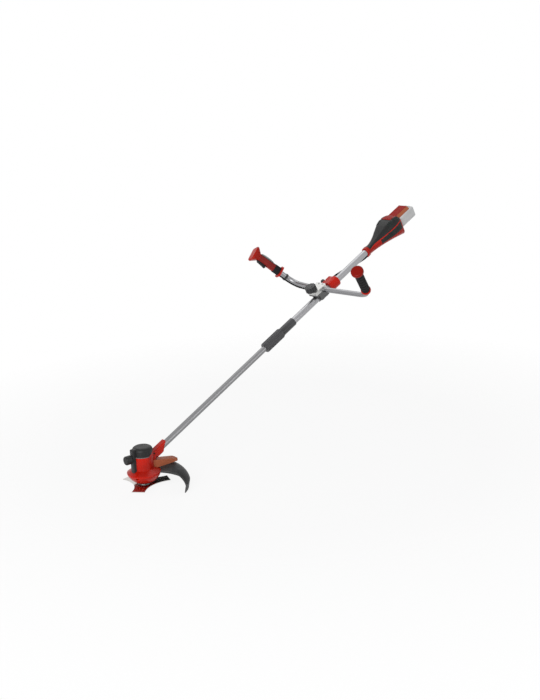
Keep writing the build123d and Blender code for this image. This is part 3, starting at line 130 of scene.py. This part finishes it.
# Directions and places on the object
shaft_dir = Vector((cos(radians(shaft_rise)), 0, sin(radians(shaft_rise))))
shaft_up = Vector((-sin(radians(shaft_rise)), 0, cos(radians(shaft_rise))))
right = Vector((0, 1, 0))
forward = Vector((-1, 0, 0))
upright = Vector((0, 0, 1))
elbow = upright * elbow_height


def shaft_point(along, across=0.0, up=0.0):
    """The point at a distance along the shaft from the elbow, to its right and above it."""
    return elbow + shaft_dir * along + right * across + shaft_up * up


bar_center = shaft_point(clamp_at, 0, bar_rise)


def bar_point(lateral, up, along):
    """The point at a distance to the right of the handlebar's middle, above it and behind it."""
    return bar_center + right * lateral + shaft_up * up + shaft_dir * along


ridge_root = shaft_point(rear_start + ridge_start, 0, ridge_front)
ridge_slope = (ridge_back - ridge_front) / (rear_length - ridge_start)
ridge_up = (shaft_up - shaft_dir * ridge_slope).normalized()
right_bend = bar_point(right_reach, bend_up, bend_back)
grip_dir = (right * grip_slope[0] + shaft_up * grip_slope[1] + shaft_dir * grip_slope[2]).normalized()
handle_root = right_bend + grip_dir * handle_start
handle_back = (shaft_dir - grip_dir * shaft_dir.dot(grip_dir)).normalized()

# Node materials
no_squeeze = (1, 1, 1)
tone_span = (0.3, 0.7)        # part of a noise's range over which a tone changes
mark_span = (0.25, 0.75)
reflection_span = (0.35, 0.7)
corner_span = (0.52, 0.62)    # sharpness at which a corner begins to look rubbed and carry a painted highlight, and is fully so
inward_span = (-0.1, -0.5)    # cosine of a guard face to its spoke, where the painted reflection begins and is full
across_spindle = (1, 1, 0)    # keeps the part of a place that is across the spindle axis
plastic_grain = 1400.0        # scale and depth of a fine grain
rubber_grain = 2200.0
grain_depth = 0.0002
grain_detail = 2.0


def shade(colour, factor):
    """A lighter or darker shade of a colour."""
    return tuple(min(1.0, channel * factor) for channel in colour)


def feed(tree, socket, source):
    """Gives a socket another node's output or a plain value."""
    if isinstance(source, bpy.types.NodeSocket):
        tree.links.new(source, socket)
    else:
        socket.default_value = source


def scalar(tree, operation, first, second):
    """The result of an operation on two numbers."""
    made = tree.nodes.new("ShaderNodeMath")
    made.operation = operation
    for socket, source in zip(made.inputs, (first, second)):
        feed(tree, socket, source)
    return made.outputs["Value"]


def mixed(tree, amount, first, second):
    """A mix of two shaders."""
    made = tree.nodes.new("ShaderNodeMixShader")
    for socket, source in zip(made.inputs, (amount, first, second)):
        feed(tree, socket, source)
    return made.outputs["Shader"]


class Surface:
    """A procedural material: a principled surface and a few helpers that add nodes to it."""

    def __init__(self, name):
        self.material = bpy.data.materials.new(name)
        self.material.use_nodes = True
        self.tree = self.material.node_tree
        self.shader = self.tree.nodes["Principled BSDF"]
        where = self.tree.nodes.new("ShaderNodeTexCoord")
        self.place = where.outputs["Object"]
        self.facing = where.outputs["Normal"]

    def node(self, kind, **sources):
        """A new node, with its sockets fed by name."""
        made = self.tree.nodes.new(kind)
        for name, source in sources.items():
            feed(self.tree, made.inputs[name.replace("_", " ")], source)
        return made

    def vector(self, operation, *sources):
        """The outputs of an operation on one or two vectors."""
        made = self.tree.nodes.new("ShaderNodeVectorMath")
        made.operation = operation
        for socket, source in zip(made.inputs, sources):
            feed(self.tree, socket, source)
        return made.outputs

    def noise(self, scale, detail=4.0, squeeze=no_squeeze):
        """Noise of a scale, squeezed along the axes whose factor is above one."""
        mapping = self.node("ShaderNodeMapping", Vector=self.place, Scale=squeeze)
        made = self.node("ShaderNodeTexNoise", Vector=mapping.outputs["Vector"], Scale=scale, Detail=detail)
        return made.outputs["Fac"]

    def span(self, source, low, high):
        """Goes from 0 to 1 as the source goes from one value to the other."""
        return self.node("ShaderNodeMapRange", Value=source, From_Min=low, From_Max=high).outputs["Result"]

    def ramp(self, source, low_colour, high_colour, limits=tone_span):
        """Goes from one colour to the other between two limits of the source."""
        made = self.node("ShaderNodeValToRGB", Fac=source)
        for stop, limit, colour in zip(made.color_ramp.elements, limits, (low_colour, high_colour)):
            stop.position = limit
            stop.color = (*colour, 1)
        return made.outputs["Color"]

    def tones(self, source, colour, darkest, lightest, limits=tone_span):
        """Goes from a darker to a lighter shade of one colour."""
        return self.ramp(source, shade(colour, darkest), shade(colour, lightest), limits)

    def mix(self, amount, first, second):
        """A mix of two colours."""
        made = self.node("ShaderNodeMix", Factor=amount)
        made.data_type = "RGBA"
        colour_inputs = [socket for socket in made.inputs if socket.type == "RGBA"]
        for socket, source in zip(colour_inputs, (first, second)):
            feed(self.tree, socket, source)
        return next(socket for socket in made.outputs if socket.type == "RGBA")

    def edge_wear_and_highlight(self, base, wear_and_highlight):
        """Lightens outer corners: wear where handling rubs the surface, and a painted highlight along the
        edges.
        """
        corner = self.tree.nodes.new("ShaderNodeNewGeometry").outputs["Pointiness"]
        amount = self.ramp(corner, (0, 0, 0), (1, 1, 1), corner_span)
        return self.mix(amount, base, (*wear_and_highlight, 1))

    def step(self, origin, direction, low, high):
        """Rises from 0 to 1 between two distances from a point, measured along a direction."""
        start = origin.dot(direction)
        measured = self.vector("DOT_PRODUCT", self.place, direction)["Value"]
        return self.span(measured, start + low, start + high)

    def gloss(self, level):
        """Sets the strength of the mirrored light."""
        feed(self.tree, self.shader.inputs["Specular IOR Level"], level)

    def colour(self, source):
        """Sets the colour of the surface."""
        feed(self.tree, self.shader.inputs["Base Color"], source)

    def roughness(self, source, low, high):
        """Spreads the roughness between two values."""
        uneven = self.ramp(source, (low,) * 3, (high,) * 3)
        feed(self.tree, self.shader.inputs["Roughness"], uneven)

    def bump(self, source, depth, strength=0.5):
        """Raises and lowers the surface a little."""
        made = self.node("ShaderNodeBump", Height=source, Distance=depth, Strength=strength)
        feed(self.tree, self.shader.inputs["Normal"], made.outputs["Normal"])


def plastic(name, colour, rough, grain=plastic_grain, depth=grain_depth, wear_and_highlight=1.35, gloss=0.2):
    """Moulded plastic: cloudy tone, fine grain, and edges lightened by rubbing and a painted highlight."""
    made = Surface(name)
    made.gloss(gloss)
    tone = made.tones(made.noise(scale=14.0), colour, darkest=0.86, lightest=1.1)
    made.colour(made.edge_wear_and_highlight(tone, shade(colour, wear_and_highlight)))
    made.roughness(made.noise(scale=40.0), low=rough - 0.06, high=rough + 0.08)
    made.bump(made.noise(grain, grain_detail), depth)
    return made.material


def metal(name, colour, rough, squeeze=no_squeeze, scale=900.0, wear_and_highlight=1.2):
    """Metal with fine marks, which can be drawn out along one direction."""
    made = Surface(name)
    marks = made.noise(scale, detail=3.0, squeeze=squeeze)
    tone = made.tones(marks, colour, darkest=0.82, lightest=1.12, limits=mark_span)
    made.colour(made.edge_wear_and_highlight(tone, shade(colour, wear_and_highlight)))
    made.shader.inputs["Metallic"].default_value = 1.0
    made.roughness(made.noise(scale=25.0), low=rough - 0.07, high=rough + 0.09)
    made.bump(marks, depth=0.0001, strength=0.3)
    return made.material


def rubber(name, colour):
    """Matt rubber with a fine grain."""
    made = Surface(name)
    made.gloss(0.15)
    made.colour(made.tones(made.noise(scale=30.0), colour, darkest=0.8, lightest=1.25))
    made.roughness(made.noise(scale=60.0), low=0.6, high=0.8)
    made.bump(made.noise(rubber_grain, grain_detail), grain_depth)
    return made.material


red = (0.50, 0.011, 0.003)
dull_red = (0.42, 0.12, 0.055)
dark_red = (0.27, 0.018, 0.014)
dark = (0.016, 0.016, 0.016)


def handle_plastic():
    """Handle shells: bright red flange and flared end, dark red between them."""
    made = Surface("handle_plastic")
    made.gloss(0.2)
    cloud = made.noise(scale=16.0)
    bright = made.tones(cloud, red, darkest=0.86, lightest=1.1)
    deep = made.tones(cloud, dark_red, darkest=0.8, lightest=1.2)
    body = made.mix(made.step(handle_root, grip_dir, *deep_red_start), bright, deep)
    tone = made.mix(made.step(handle_root, grip_dir, *deep_red_end), body, bright)
    made.colour(made.edge_wear_and_highlight(tone, shade(red, 1.3)))
    made.roughness(made.noise(scale=40.0), low=0.3, high=0.46)
    made.bump(made.noise(plastic_grain, grain_detail), grain_depth)
    return made.material


def guard_plastic():
    """Dark guard whose inner wall is lighter grey in streaks: a painted reflection of light."""
    made = Surface("guard_plastic")
    made.gloss(0.1)
    spoke = made.vector("MULTIPLY", made.place, across_spindle)["Vector"]
    unit = made.vector("NORMALIZE", spoke)["Vector"]
    outward = made.vector("DOT_PRODUCT", unit, made.facing)["Value"]
    inside = made.span(outward, *inward_span)
    outer = made.ramp(made.noise(scale=14.0), (0.011, 0.011, 0.012), (0.020, 0.020, 0.021))
    streaks = made.noise(scale=60.0, detail=6.0, squeeze=(1, 1, 3))
    # Lighter grey streaks on the faces that look in towards the spindle: a painted reflection of light.
    painted_reflection = made.ramp(streaks, (0.10, 0.10, 0.10), (0.21, 0.21, 0.205), reflection_span)
    tone = made.mix(inside, outer, painted_reflection)
    made.colour(made.edge_wear_and_highlight(tone, wear_and_highlight=(0.09, 0.09, 0.09)))
    made.roughness(made.noise(scale=40.0), low=0.34, high=0.52)
    made.bump(made.noise(plastic_grain, grain_detail), grain_depth)
    return made.material


slot_materials = {
    "red_plastic": plastic("red_plastic", red, 0.26),
    "dull_red_plastic": plastic("dull_red_plastic", dull_red, 0.5),
    # Strong edge lightening on the dark plastic: painted highlights along edges such as the bib's, with
    # some wear.
    "dark_plastic": plastic("dark_plastic", dark, 0.40, wear_and_highlight=2.6, gloss=0.22),
    "black_plastic": plastic("black_plastic", (0.012, 0.012, 0.013), 0.5),
    "grip_rubber": rubber("grip_rubber", (0.016, 0.016, 0.017)),
    "grey_plastic": plastic("grey_plastic", (0.80, 0.80, 0.79), 0.4, wear_and_highlight=1.1),
    "latch_plastic": plastic("latch_plastic", (0.33, 0.34, 0.34), 0.45),
    "lower_tube_metal": metal("lower_tube_metal", (0.20, 0.20, 0.205), 0.34),
    "upper_tube_metal": metal("upper_tube_metal", (0.29, 0.29, 0.30), 0.30),
    "clamp_metal": metal("clamp_metal", (0.44, 0.44, 0.43), 0.36, scale=400.0),
    "blade_steel": metal("blade_steel", (0.58, 0.56, 0.54), 0.17, (1, 12, 1), scale=300.0, wear_and_highlight=1.05),
    "dark_steel": metal("dark_steel", (0.12, 0.12, 0.12), 0.45),
    "screw_steel": metal("screw_steel", (0.40, 0.40, 0.40), 0.35),
    "core_steel": metal("core_steel", (0.2, 0.19, 0.19), 0.5, (1, 1, 30)),
    "board": plastic("board", (0.02, 0.11, 0.05), 0.45),
    "cell_wrap": plastic("cell_wrap", (0.04, 0.12, 0.2), 0.35),
}
handle_finish = handle_plastic()
strap_finish = metal("strap_metal", (0.10, 0.10, 0.10), 0.4, scale=400.0)
# Very strong edge lightening on the coupling and knob: painted highlights on their ribs, with some wear.
coupling_finish = plastic("coupling_plastic", (0.018, 0.018, 0.019), 0.24, wear_and_highlight=4.0, gloss=0.36)
node_materials = {
    "handle_shell_inner": handle_finish,
    "handle_shell_outer": handle_finish,
    "guard": guard_plastic(),
    "lock_lever": plastic("lever_plastic", (0.36, 0.38, 0.38), 0.42),
    "clamp_strap": strap_finish,
    # The saddle shares the strap's dark metal: painted shade under the clamp's pale cap.
    "clamp_saddle": strap_finish,
    # The left end cap is a darker red than the other red parts: painted shade.
    "left_end_cap": plastic("shaded_end_cap_plastic", (0.31, 0.008, 0.003), 0.3, gloss=0.12),
    "rear_top_trim": plastic("trim_plastic", (0.40, 0.010, 0.004), 0.4, gloss=0.1),
    "vent_panels": plastic("vent_plastic", (0.014, 0.018, 0.017), 0.4, wear_and_highlight=2.5),
    "coupling_nut": coupling_finish,
    "coupling_body": coupling_finish,
    "star_knob": coupling_finish,
    "head_screws": metal("blackened_steel", (0.03, 0.03, 0.03), 0.5),
}
panel_plastic = plastic("panel_plastic", (0.022, 0.024, 0.023), 0.55, grain=700.0, depth=0.0006, wear_and_highlight=2.0)
# Lighter red bead along the ridge: a red trim line, lightened by a painted highlight along the crease.
bead_plastic = plastic("bead_plastic", shade(red, 1.25), 0.3)
# Darker red for the rail's crown: painted shade on faces that look away from the light.
shaded_crown_plastic = plastic("shaded_crown_plastic", (0.34, 0.010, 0.005), 0.42, gloss=0.08)
lip_plastic = plastic("lip_plastic", (0.11, 0.11, 0.11), 0.35)

slots = {row["node"]: row["material_slot"] for row in frame["record"]["subparts"]}
for name, node in frame["nodes"].items():
    node.data.materials.clear()
    node.data.materials.append(node_materials.get(name, slot_materials[slots[name]]))

# Small rounds on the moulded and cast pieces
slot_rounds = {
    "red_plastic": 0.0012,
    "dull_red_plastic": 0.0012,
    "grey_plastic": 0.0012,
    "dark_plastic": 0.001,
    "clamp_metal": 0.0008,
    "latch_plastic": 0.0006,
    "black_plastic": 0.0006,
}


def round_edges(piece, width):
    """Rounds the sharp edges of a piece."""
    rounds = piece.modifiers.new("rounds", "BEVEL")
    rounds.width = width
    rounds.segments = round_segments
    rounds.limit_method = "ANGLE"
    rounds.angle_limit = radians(corner_angle)


for name, node in frame["nodes"].items():
    if slots[name] in slot_rounds:
        round_edges(node, slot_rounds[slots[name]])

# Free loop of the control cable
ring_detail = 3               # fineness of the cable's round section, and of its line
line_detail = 10


def add_object(name, data):
    """A new object in the scene."""
    made = bpy.data.objects.new(name, data)
    bpy.context.collection.objects.link(made)
    return made


def tube(name, points, radius):
    """A round tube along a smooth line through the points, closed at both ends."""
    curve = bpy.data.curves.new(name, "CURVE")
    curve.dimensions = "3D"
    curve.bevel_depth = radius
    curve.bevel_resolution = ring_detail
    curve.use_fill_caps = True
    curve.resolution_u = line_detail
    line = curve.splines.new("BEZIER")
    line.bezier_points.add(len(points) - 1)
    for handle, point in zip(line.bezier_points, points):
        handle.co = point
        handle.handle_left_type = "AUTO"
        handle.handle_right_type = "AUTO"
    drawn = add_object(name + "_line", curve)
    mesh = bpy.data.meshes.new_from_object(drawn.evaluated_get(bpy.context.evaluated_depsgraph_get()))
    bpy.data.objects.remove(drawn)
    for face in mesh.polygons:
        face.use_smooth = True
    return add_object(name, mesh)


arm_root = bar_point(bar_straight, 0, 0)
arm_dir = (right_bend - arm_root).normalized()
arm_under = (arm_dir * grip_dir.dot(arm_dir) - grip_dir).normalized()
beside = grip_dir.cross(arm_dir).normalized()
cable_shift = beside * cos(radians(cable_turn)) + arm_under * sin(radians(cable_turn))
leave_along = (right_bend - arm_root).length - (right_reach - cable_leave)
cable_leaves = arm_root + arm_dir * leave_along + cable_shift * cable_offset
seat_across = cable_seat * cos(radians(cable_seat_angle))
seat_up = cable_seat * sin(radians(cable_seat_angle))
cable_enters = shaft_point(harness_start, seat_across, seat_up)

cable_loop = tube("cable_loop", [
    cable_leaves,
    cable_leaves - arm_dir * loop_lead,
    bar_point(loop_across, -loop_drop, loop_back),
    cable_enters - shaft_dir * loop_lead,
    cable_enters,
], cable_radius)
cable_loop.data.materials.append(slot_materials["grip_rubber"])
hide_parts("control_cable_loop")
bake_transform(cable_loop)

# Thin layers on the outside of the moulded pieces
loose_facing = 0.5            # least cosine between a face's normal and the direction asked for
close_facing = 0.9


def layer(name, node, body, material, thickness, chosen, cuts=()):
    """A thin raised layer on the chosen faces of a piece, without what is in front of the cuts."""
    shape = bmesh.new()
    shape.from_mesh(frame["nodes"][node].data)
    bmesh.ops.remove_doubles(shape, verts=shape.verts, dist=merge_distance)
    for point, normal in cuts:
        everything = shape.verts[:] + shape.edges[:] + shape.faces[:]
        bmesh.ops.bisect_plane(shape, geom=everything, plane_co=point, plane_no=normal, clear_outer=True)
    left_out = [face for face in shape.faces if not chosen(face.calc_center_median(), face.normal)]
    bmesh.ops.delete(shape, geom=left_out, context="FACES")
    mesh = bpy.data.meshes.new(name)
    shape.to_mesh(mesh)
    shape.free()
    mesh.materials.append(material)
    made = add_object(name, mesh)
    raised = made.modifiers.new("thickness", "SOLIDIFY")
    raised.thickness = thickness
    raised.offset = 1.0
    round_edges(made, thickness * round_share)
    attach(made, body)


def off_shaft(place, normal):
    """True for a face that looks away from the shaft axis."""
    spoke = place - elbow
    return normal.dot(spoke - shaft_dir * spoke.dot(shaft_dir)) > 0


def off_spindle(place, normal):
    """True for an upright face that looks away from the spindle axis."""
    return normal.dot(Vector((place.x, place.y, 0)).normalized()) > loose_facing


def facing_up(place, normal):
    """True for a face that looks straight up from the shaft."""
    return normal.dot(shaft_up) > close_facing


def facing_palm(place, normal):
    """True for a face on the back of the handle, outside its slots."""
    return normal.dot(handle_back) > loose_facing and (place - handle_root).dot(handle_back) > palm_depth


bead_foot = ridge_root - ridge_up * bead_width
bead_cuts = [(bead_foot, -ridge_up)]
panel_cuts = [
    (shaft_point(rear_start + panel_front), -shaft_dir),
    (shaft_point(rear_start + panel_back), shaft_dir),
    (shaft_point(rear_start, 0, panel_low), -shaft_up),
    (bead_foot, ridge_up),
]
for side in ("left", "right"):
    shell = "rear_shell_" + side
    panel = "rear_side_panel_" + side
    layer(panel, shell, "upper_unit", panel_plastic, low_layer, off_shaft, panel_cuts)
    bead = "ridge_bead_" + side
    layer(bead, shell, "upper_unit", bead_plastic, high_layer, off_shaft, bead_cuts)

pad_plastic = slot_materials["dark_plastic"]
palm_cuts = [
    (handle_root + grip_dir * palm_low, -grip_dir),
    (handle_root + grip_dir * palm_high, grip_dir),
]
for side in ("inner", "outer"):
    shell = "handle_shell_" + side
    pad = "palm_pad_" + side
    layer(pad, shell, "handlebar", pad_plastic, low_layer, facing_palm, palm_cuts)

# A thin darker red sheet on the rail's upward faces: painted shade.
layer("shaded_rail_crown", "battery_rail", "upper_unit", shaded_crown_plastic, low_layer, facing_up)

# The lip round the cap's lower rim is lighter grey: a raised lip, lightened by a painted highlight along
# the rim.
lip_front = sqrt(can_radius ** 2 - bib_half_width ** 2)
lip_cuts = [
    (forward * lip_front, forward),
    (upright * can_top, -upright),
    (upright * (can_top + lip_height), upright),
]
layer("cap_lip", "motor_cap", "lower_unit", lip_plastic, high_layer, off_spindle, lip_cuts)

# Lighter insert in the top of the star knob


def turned(name, profile, origin, axis, steps=48):
    """A round piece about an axis, from (radius, height) points."""
    spoke = axis.orthogonal().normalized()
    shape = bmesh.new()
    corners = [shape.verts.new(origin + spoke * radius + axis * height) for radius, height in profile]
    edges = [shape.edges.new(pair) for pair in zip(corners, corners[1:])]
    bmesh.ops.spin(shape, geom=corners + edges, cent=origin, axis=axis, angle=radians(360), steps=steps)
    bmesh.ops.remove_doubles(shape, verts=shape.verts, dist=merge_distance)
    bmesh.ops.recalc_face_normals(shape, faces=shape.faces)
    mesh = bpy.data.meshes.new(name)
    shape.to_mesh(mesh)
    shape.free()
    return add_object(name, mesh)


knob_insert = turned("knob_insert", [
    (0, -insert_dish),
    (insert_radius, -insert_dish),
    (insert_radius, insert_height * shoulder_share),
    (insert_radius * crown_share, insert_height),
    (insert_radius * rim_share, insert_height),
    (insert_radius * dish_share, insert_height - insert_dish),
    (0, insert_height - insert_dish),
], shaft_point(knob_at, knob_across, knob_top), shaft_up)
knob_insert.data.materials.append(lip_plastic)
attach(knob_insert, "star_knob")

# Floor and background
floor_half = 9.0              # from the floor's middle to its edges
floor_drop = 0.001            # of the floor below the object
floor_rough = 0.9
floor_white = 0.9             # share of plain white in the floor, where it is seen directly
fade_shift = (-0.7, 0, 0)     # brings the middle of the fade under the object
fade_start = 0.9              # distance from there at which the floor begins to fade, and is gone
fade_end = 2.0
sky_colour = (0.95, 0.97, 1.0, 1)
sky_strength = 0.22
plain_white = (1, 1, 1, 1)


def seen_directly(tree):
    """1 for the rays that show the background: straight to the camera, mirrored or through glass."""
    rays = tree.nodes.new("ShaderNodeLightPath").outputs
    mirrored = scalar(tree, "MAXIMUM", rays["Is Camera Ray"], rays["Is Glossy Ray"])
    return scalar(tree, "MAXIMUM", mirrored, rays["Is Transmission Ray"])


def floor_material():
    """Pale floor that fades out to the white background away from the object."""
    made = Surface("floor")
    made.colour(made.ramp(made.noise(scale=6.0), (0.88, 0.88, 0.88), (0.9, 0.9, 0.9)))
    made.shader.inputs["Roughness"].default_value = floor_rough
    middle = made.node("ShaderNodeMapping", Vector=made.place, Location=fade_shift)
    distance = made.vector("LENGTH", middle.outputs["Vector"])["Value"]
    fade = made.span(distance, fade_start, fade_end)
    white_share = scalar(made.tree, "MULTIPLY", seen_directly(made.tree), floor_white)
    glow = made.tree.nodes.new("ShaderNodeEmission").outputs["Emission"]
    clear = made.tree.nodes.new("ShaderNodeBsdfTransparent").outputs["BSDF"]
    pale = mixed(made.tree, white_share, made.shader.outputs["BSDF"], glow)
    faded = mixed(made.tree, fade, pale, clear)
    feed(made.tree, made.tree.nodes["Material Output"].inputs["Surface"], faded)
    return made.material


floor_z = cad_low.z - floor_drop
floor_corners = [
    (-floor_half, -floor_half, floor_z),
    (floor_half, -floor_half, floor_z),
    (floor_half, floor_half, floor_z),
    (-floor_half, floor_half, floor_z),
]
floor_mesh = bpy.data.meshes.new("floor")
floor_mesh.from_pydata(floor_corners, [], [(0, 1, 2, 3)])
floor_mesh.materials.append(floor_material())
floor = add_object("floor", floor_mesh)

world = bpy.data.worlds.new("studio")
bpy.context.scene.world = world
world.use_nodes = True
sky = world.node_tree
lit = sky.nodes["Background"]
lit.inputs["Color"].default_value = sky_colour
lit.inputs["Strength"].default_value = sky_strength
white = sky.nodes.new("ShaderNodeBackground")
white.inputs["Color"].default_value = plain_white
backdrop = mixed(sky, seen_directly(sky), lit.outputs["Background"], white.outputs["Background"])
feed(sky, sky.nodes["World Output"].inputs["Surface"], backdrop)

# Soft studio light
light_target = Vector((0.7, 0.0, 0.4))


def area_light(name, place, size, power):
    """A rectangular light that looks at the object."""
    lamp = bpy.data.lights.new(name, "AREA")
    lamp.shape = "RECTANGLE"
    lamp.size, lamp.size_y = size
    lamp.energy = power
    holder = add_object(name, lamp)
    holder.location = place
    holder.rotation_mode = "QUATERNION"
    holder.rotation_quaternion = (light_target - Vector(place)).to_track_quat("-Z", "Y")


area_light("key", place=(-3.0, -1.7, 1.5), size=(2.8, 2.8), power=108)
area_light("fill", place=(1.2, -3.2, 1.2), size=(1.6, 1.6), power=12)
area_light("top", place=(1.4, 1.0, 2.8), size=(2.0, 1.6), power=12)

# Camera at the photograph's viewing angle
view_azimuth = -40.69
view_elevation = 15.18
view_roll = -2.58
view_distance = 4.120
view_target = Vector((0.6731, 0.0, 0.4142))
focal_pixels = 974.1
picture_height = 700.0        # pixels
sensor = 36.0                 # millimetres

azimuth = radians(view_azimuth)
elevation = radians(view_elevation)
roll = radians(view_roll)
backward = Vector((sin(azimuth) * cos(elevation), -cos(azimuth) * cos(elevation), sin(elevation)))
level = Vector((cos(azimuth), sin(azimuth), 0))
above = backward.cross(level)
camera_x = level * cos(roll) + above * sin(roll)
camera_y = above * cos(roll) - level * sin(roll)
camera_turn = Matrix((camera_x, camera_y, backward)).transposed().to_4x4()
camera_data = bpy.data.cameras.new("camera")
camera_data.sensor_fit = "AUTO"
camera_data.sensor_width = sensor
camera_data.lens = focal_pixels / picture_height * sensor
camera = add_object("camera", camera_data)
camera.matrix_world = Matrix.Translation(view_target + backward * view_distance) @ camera_turn
bpy.context.scene.camera = camera
bpy.context.scene.view_settings.view_transform = "Standard"
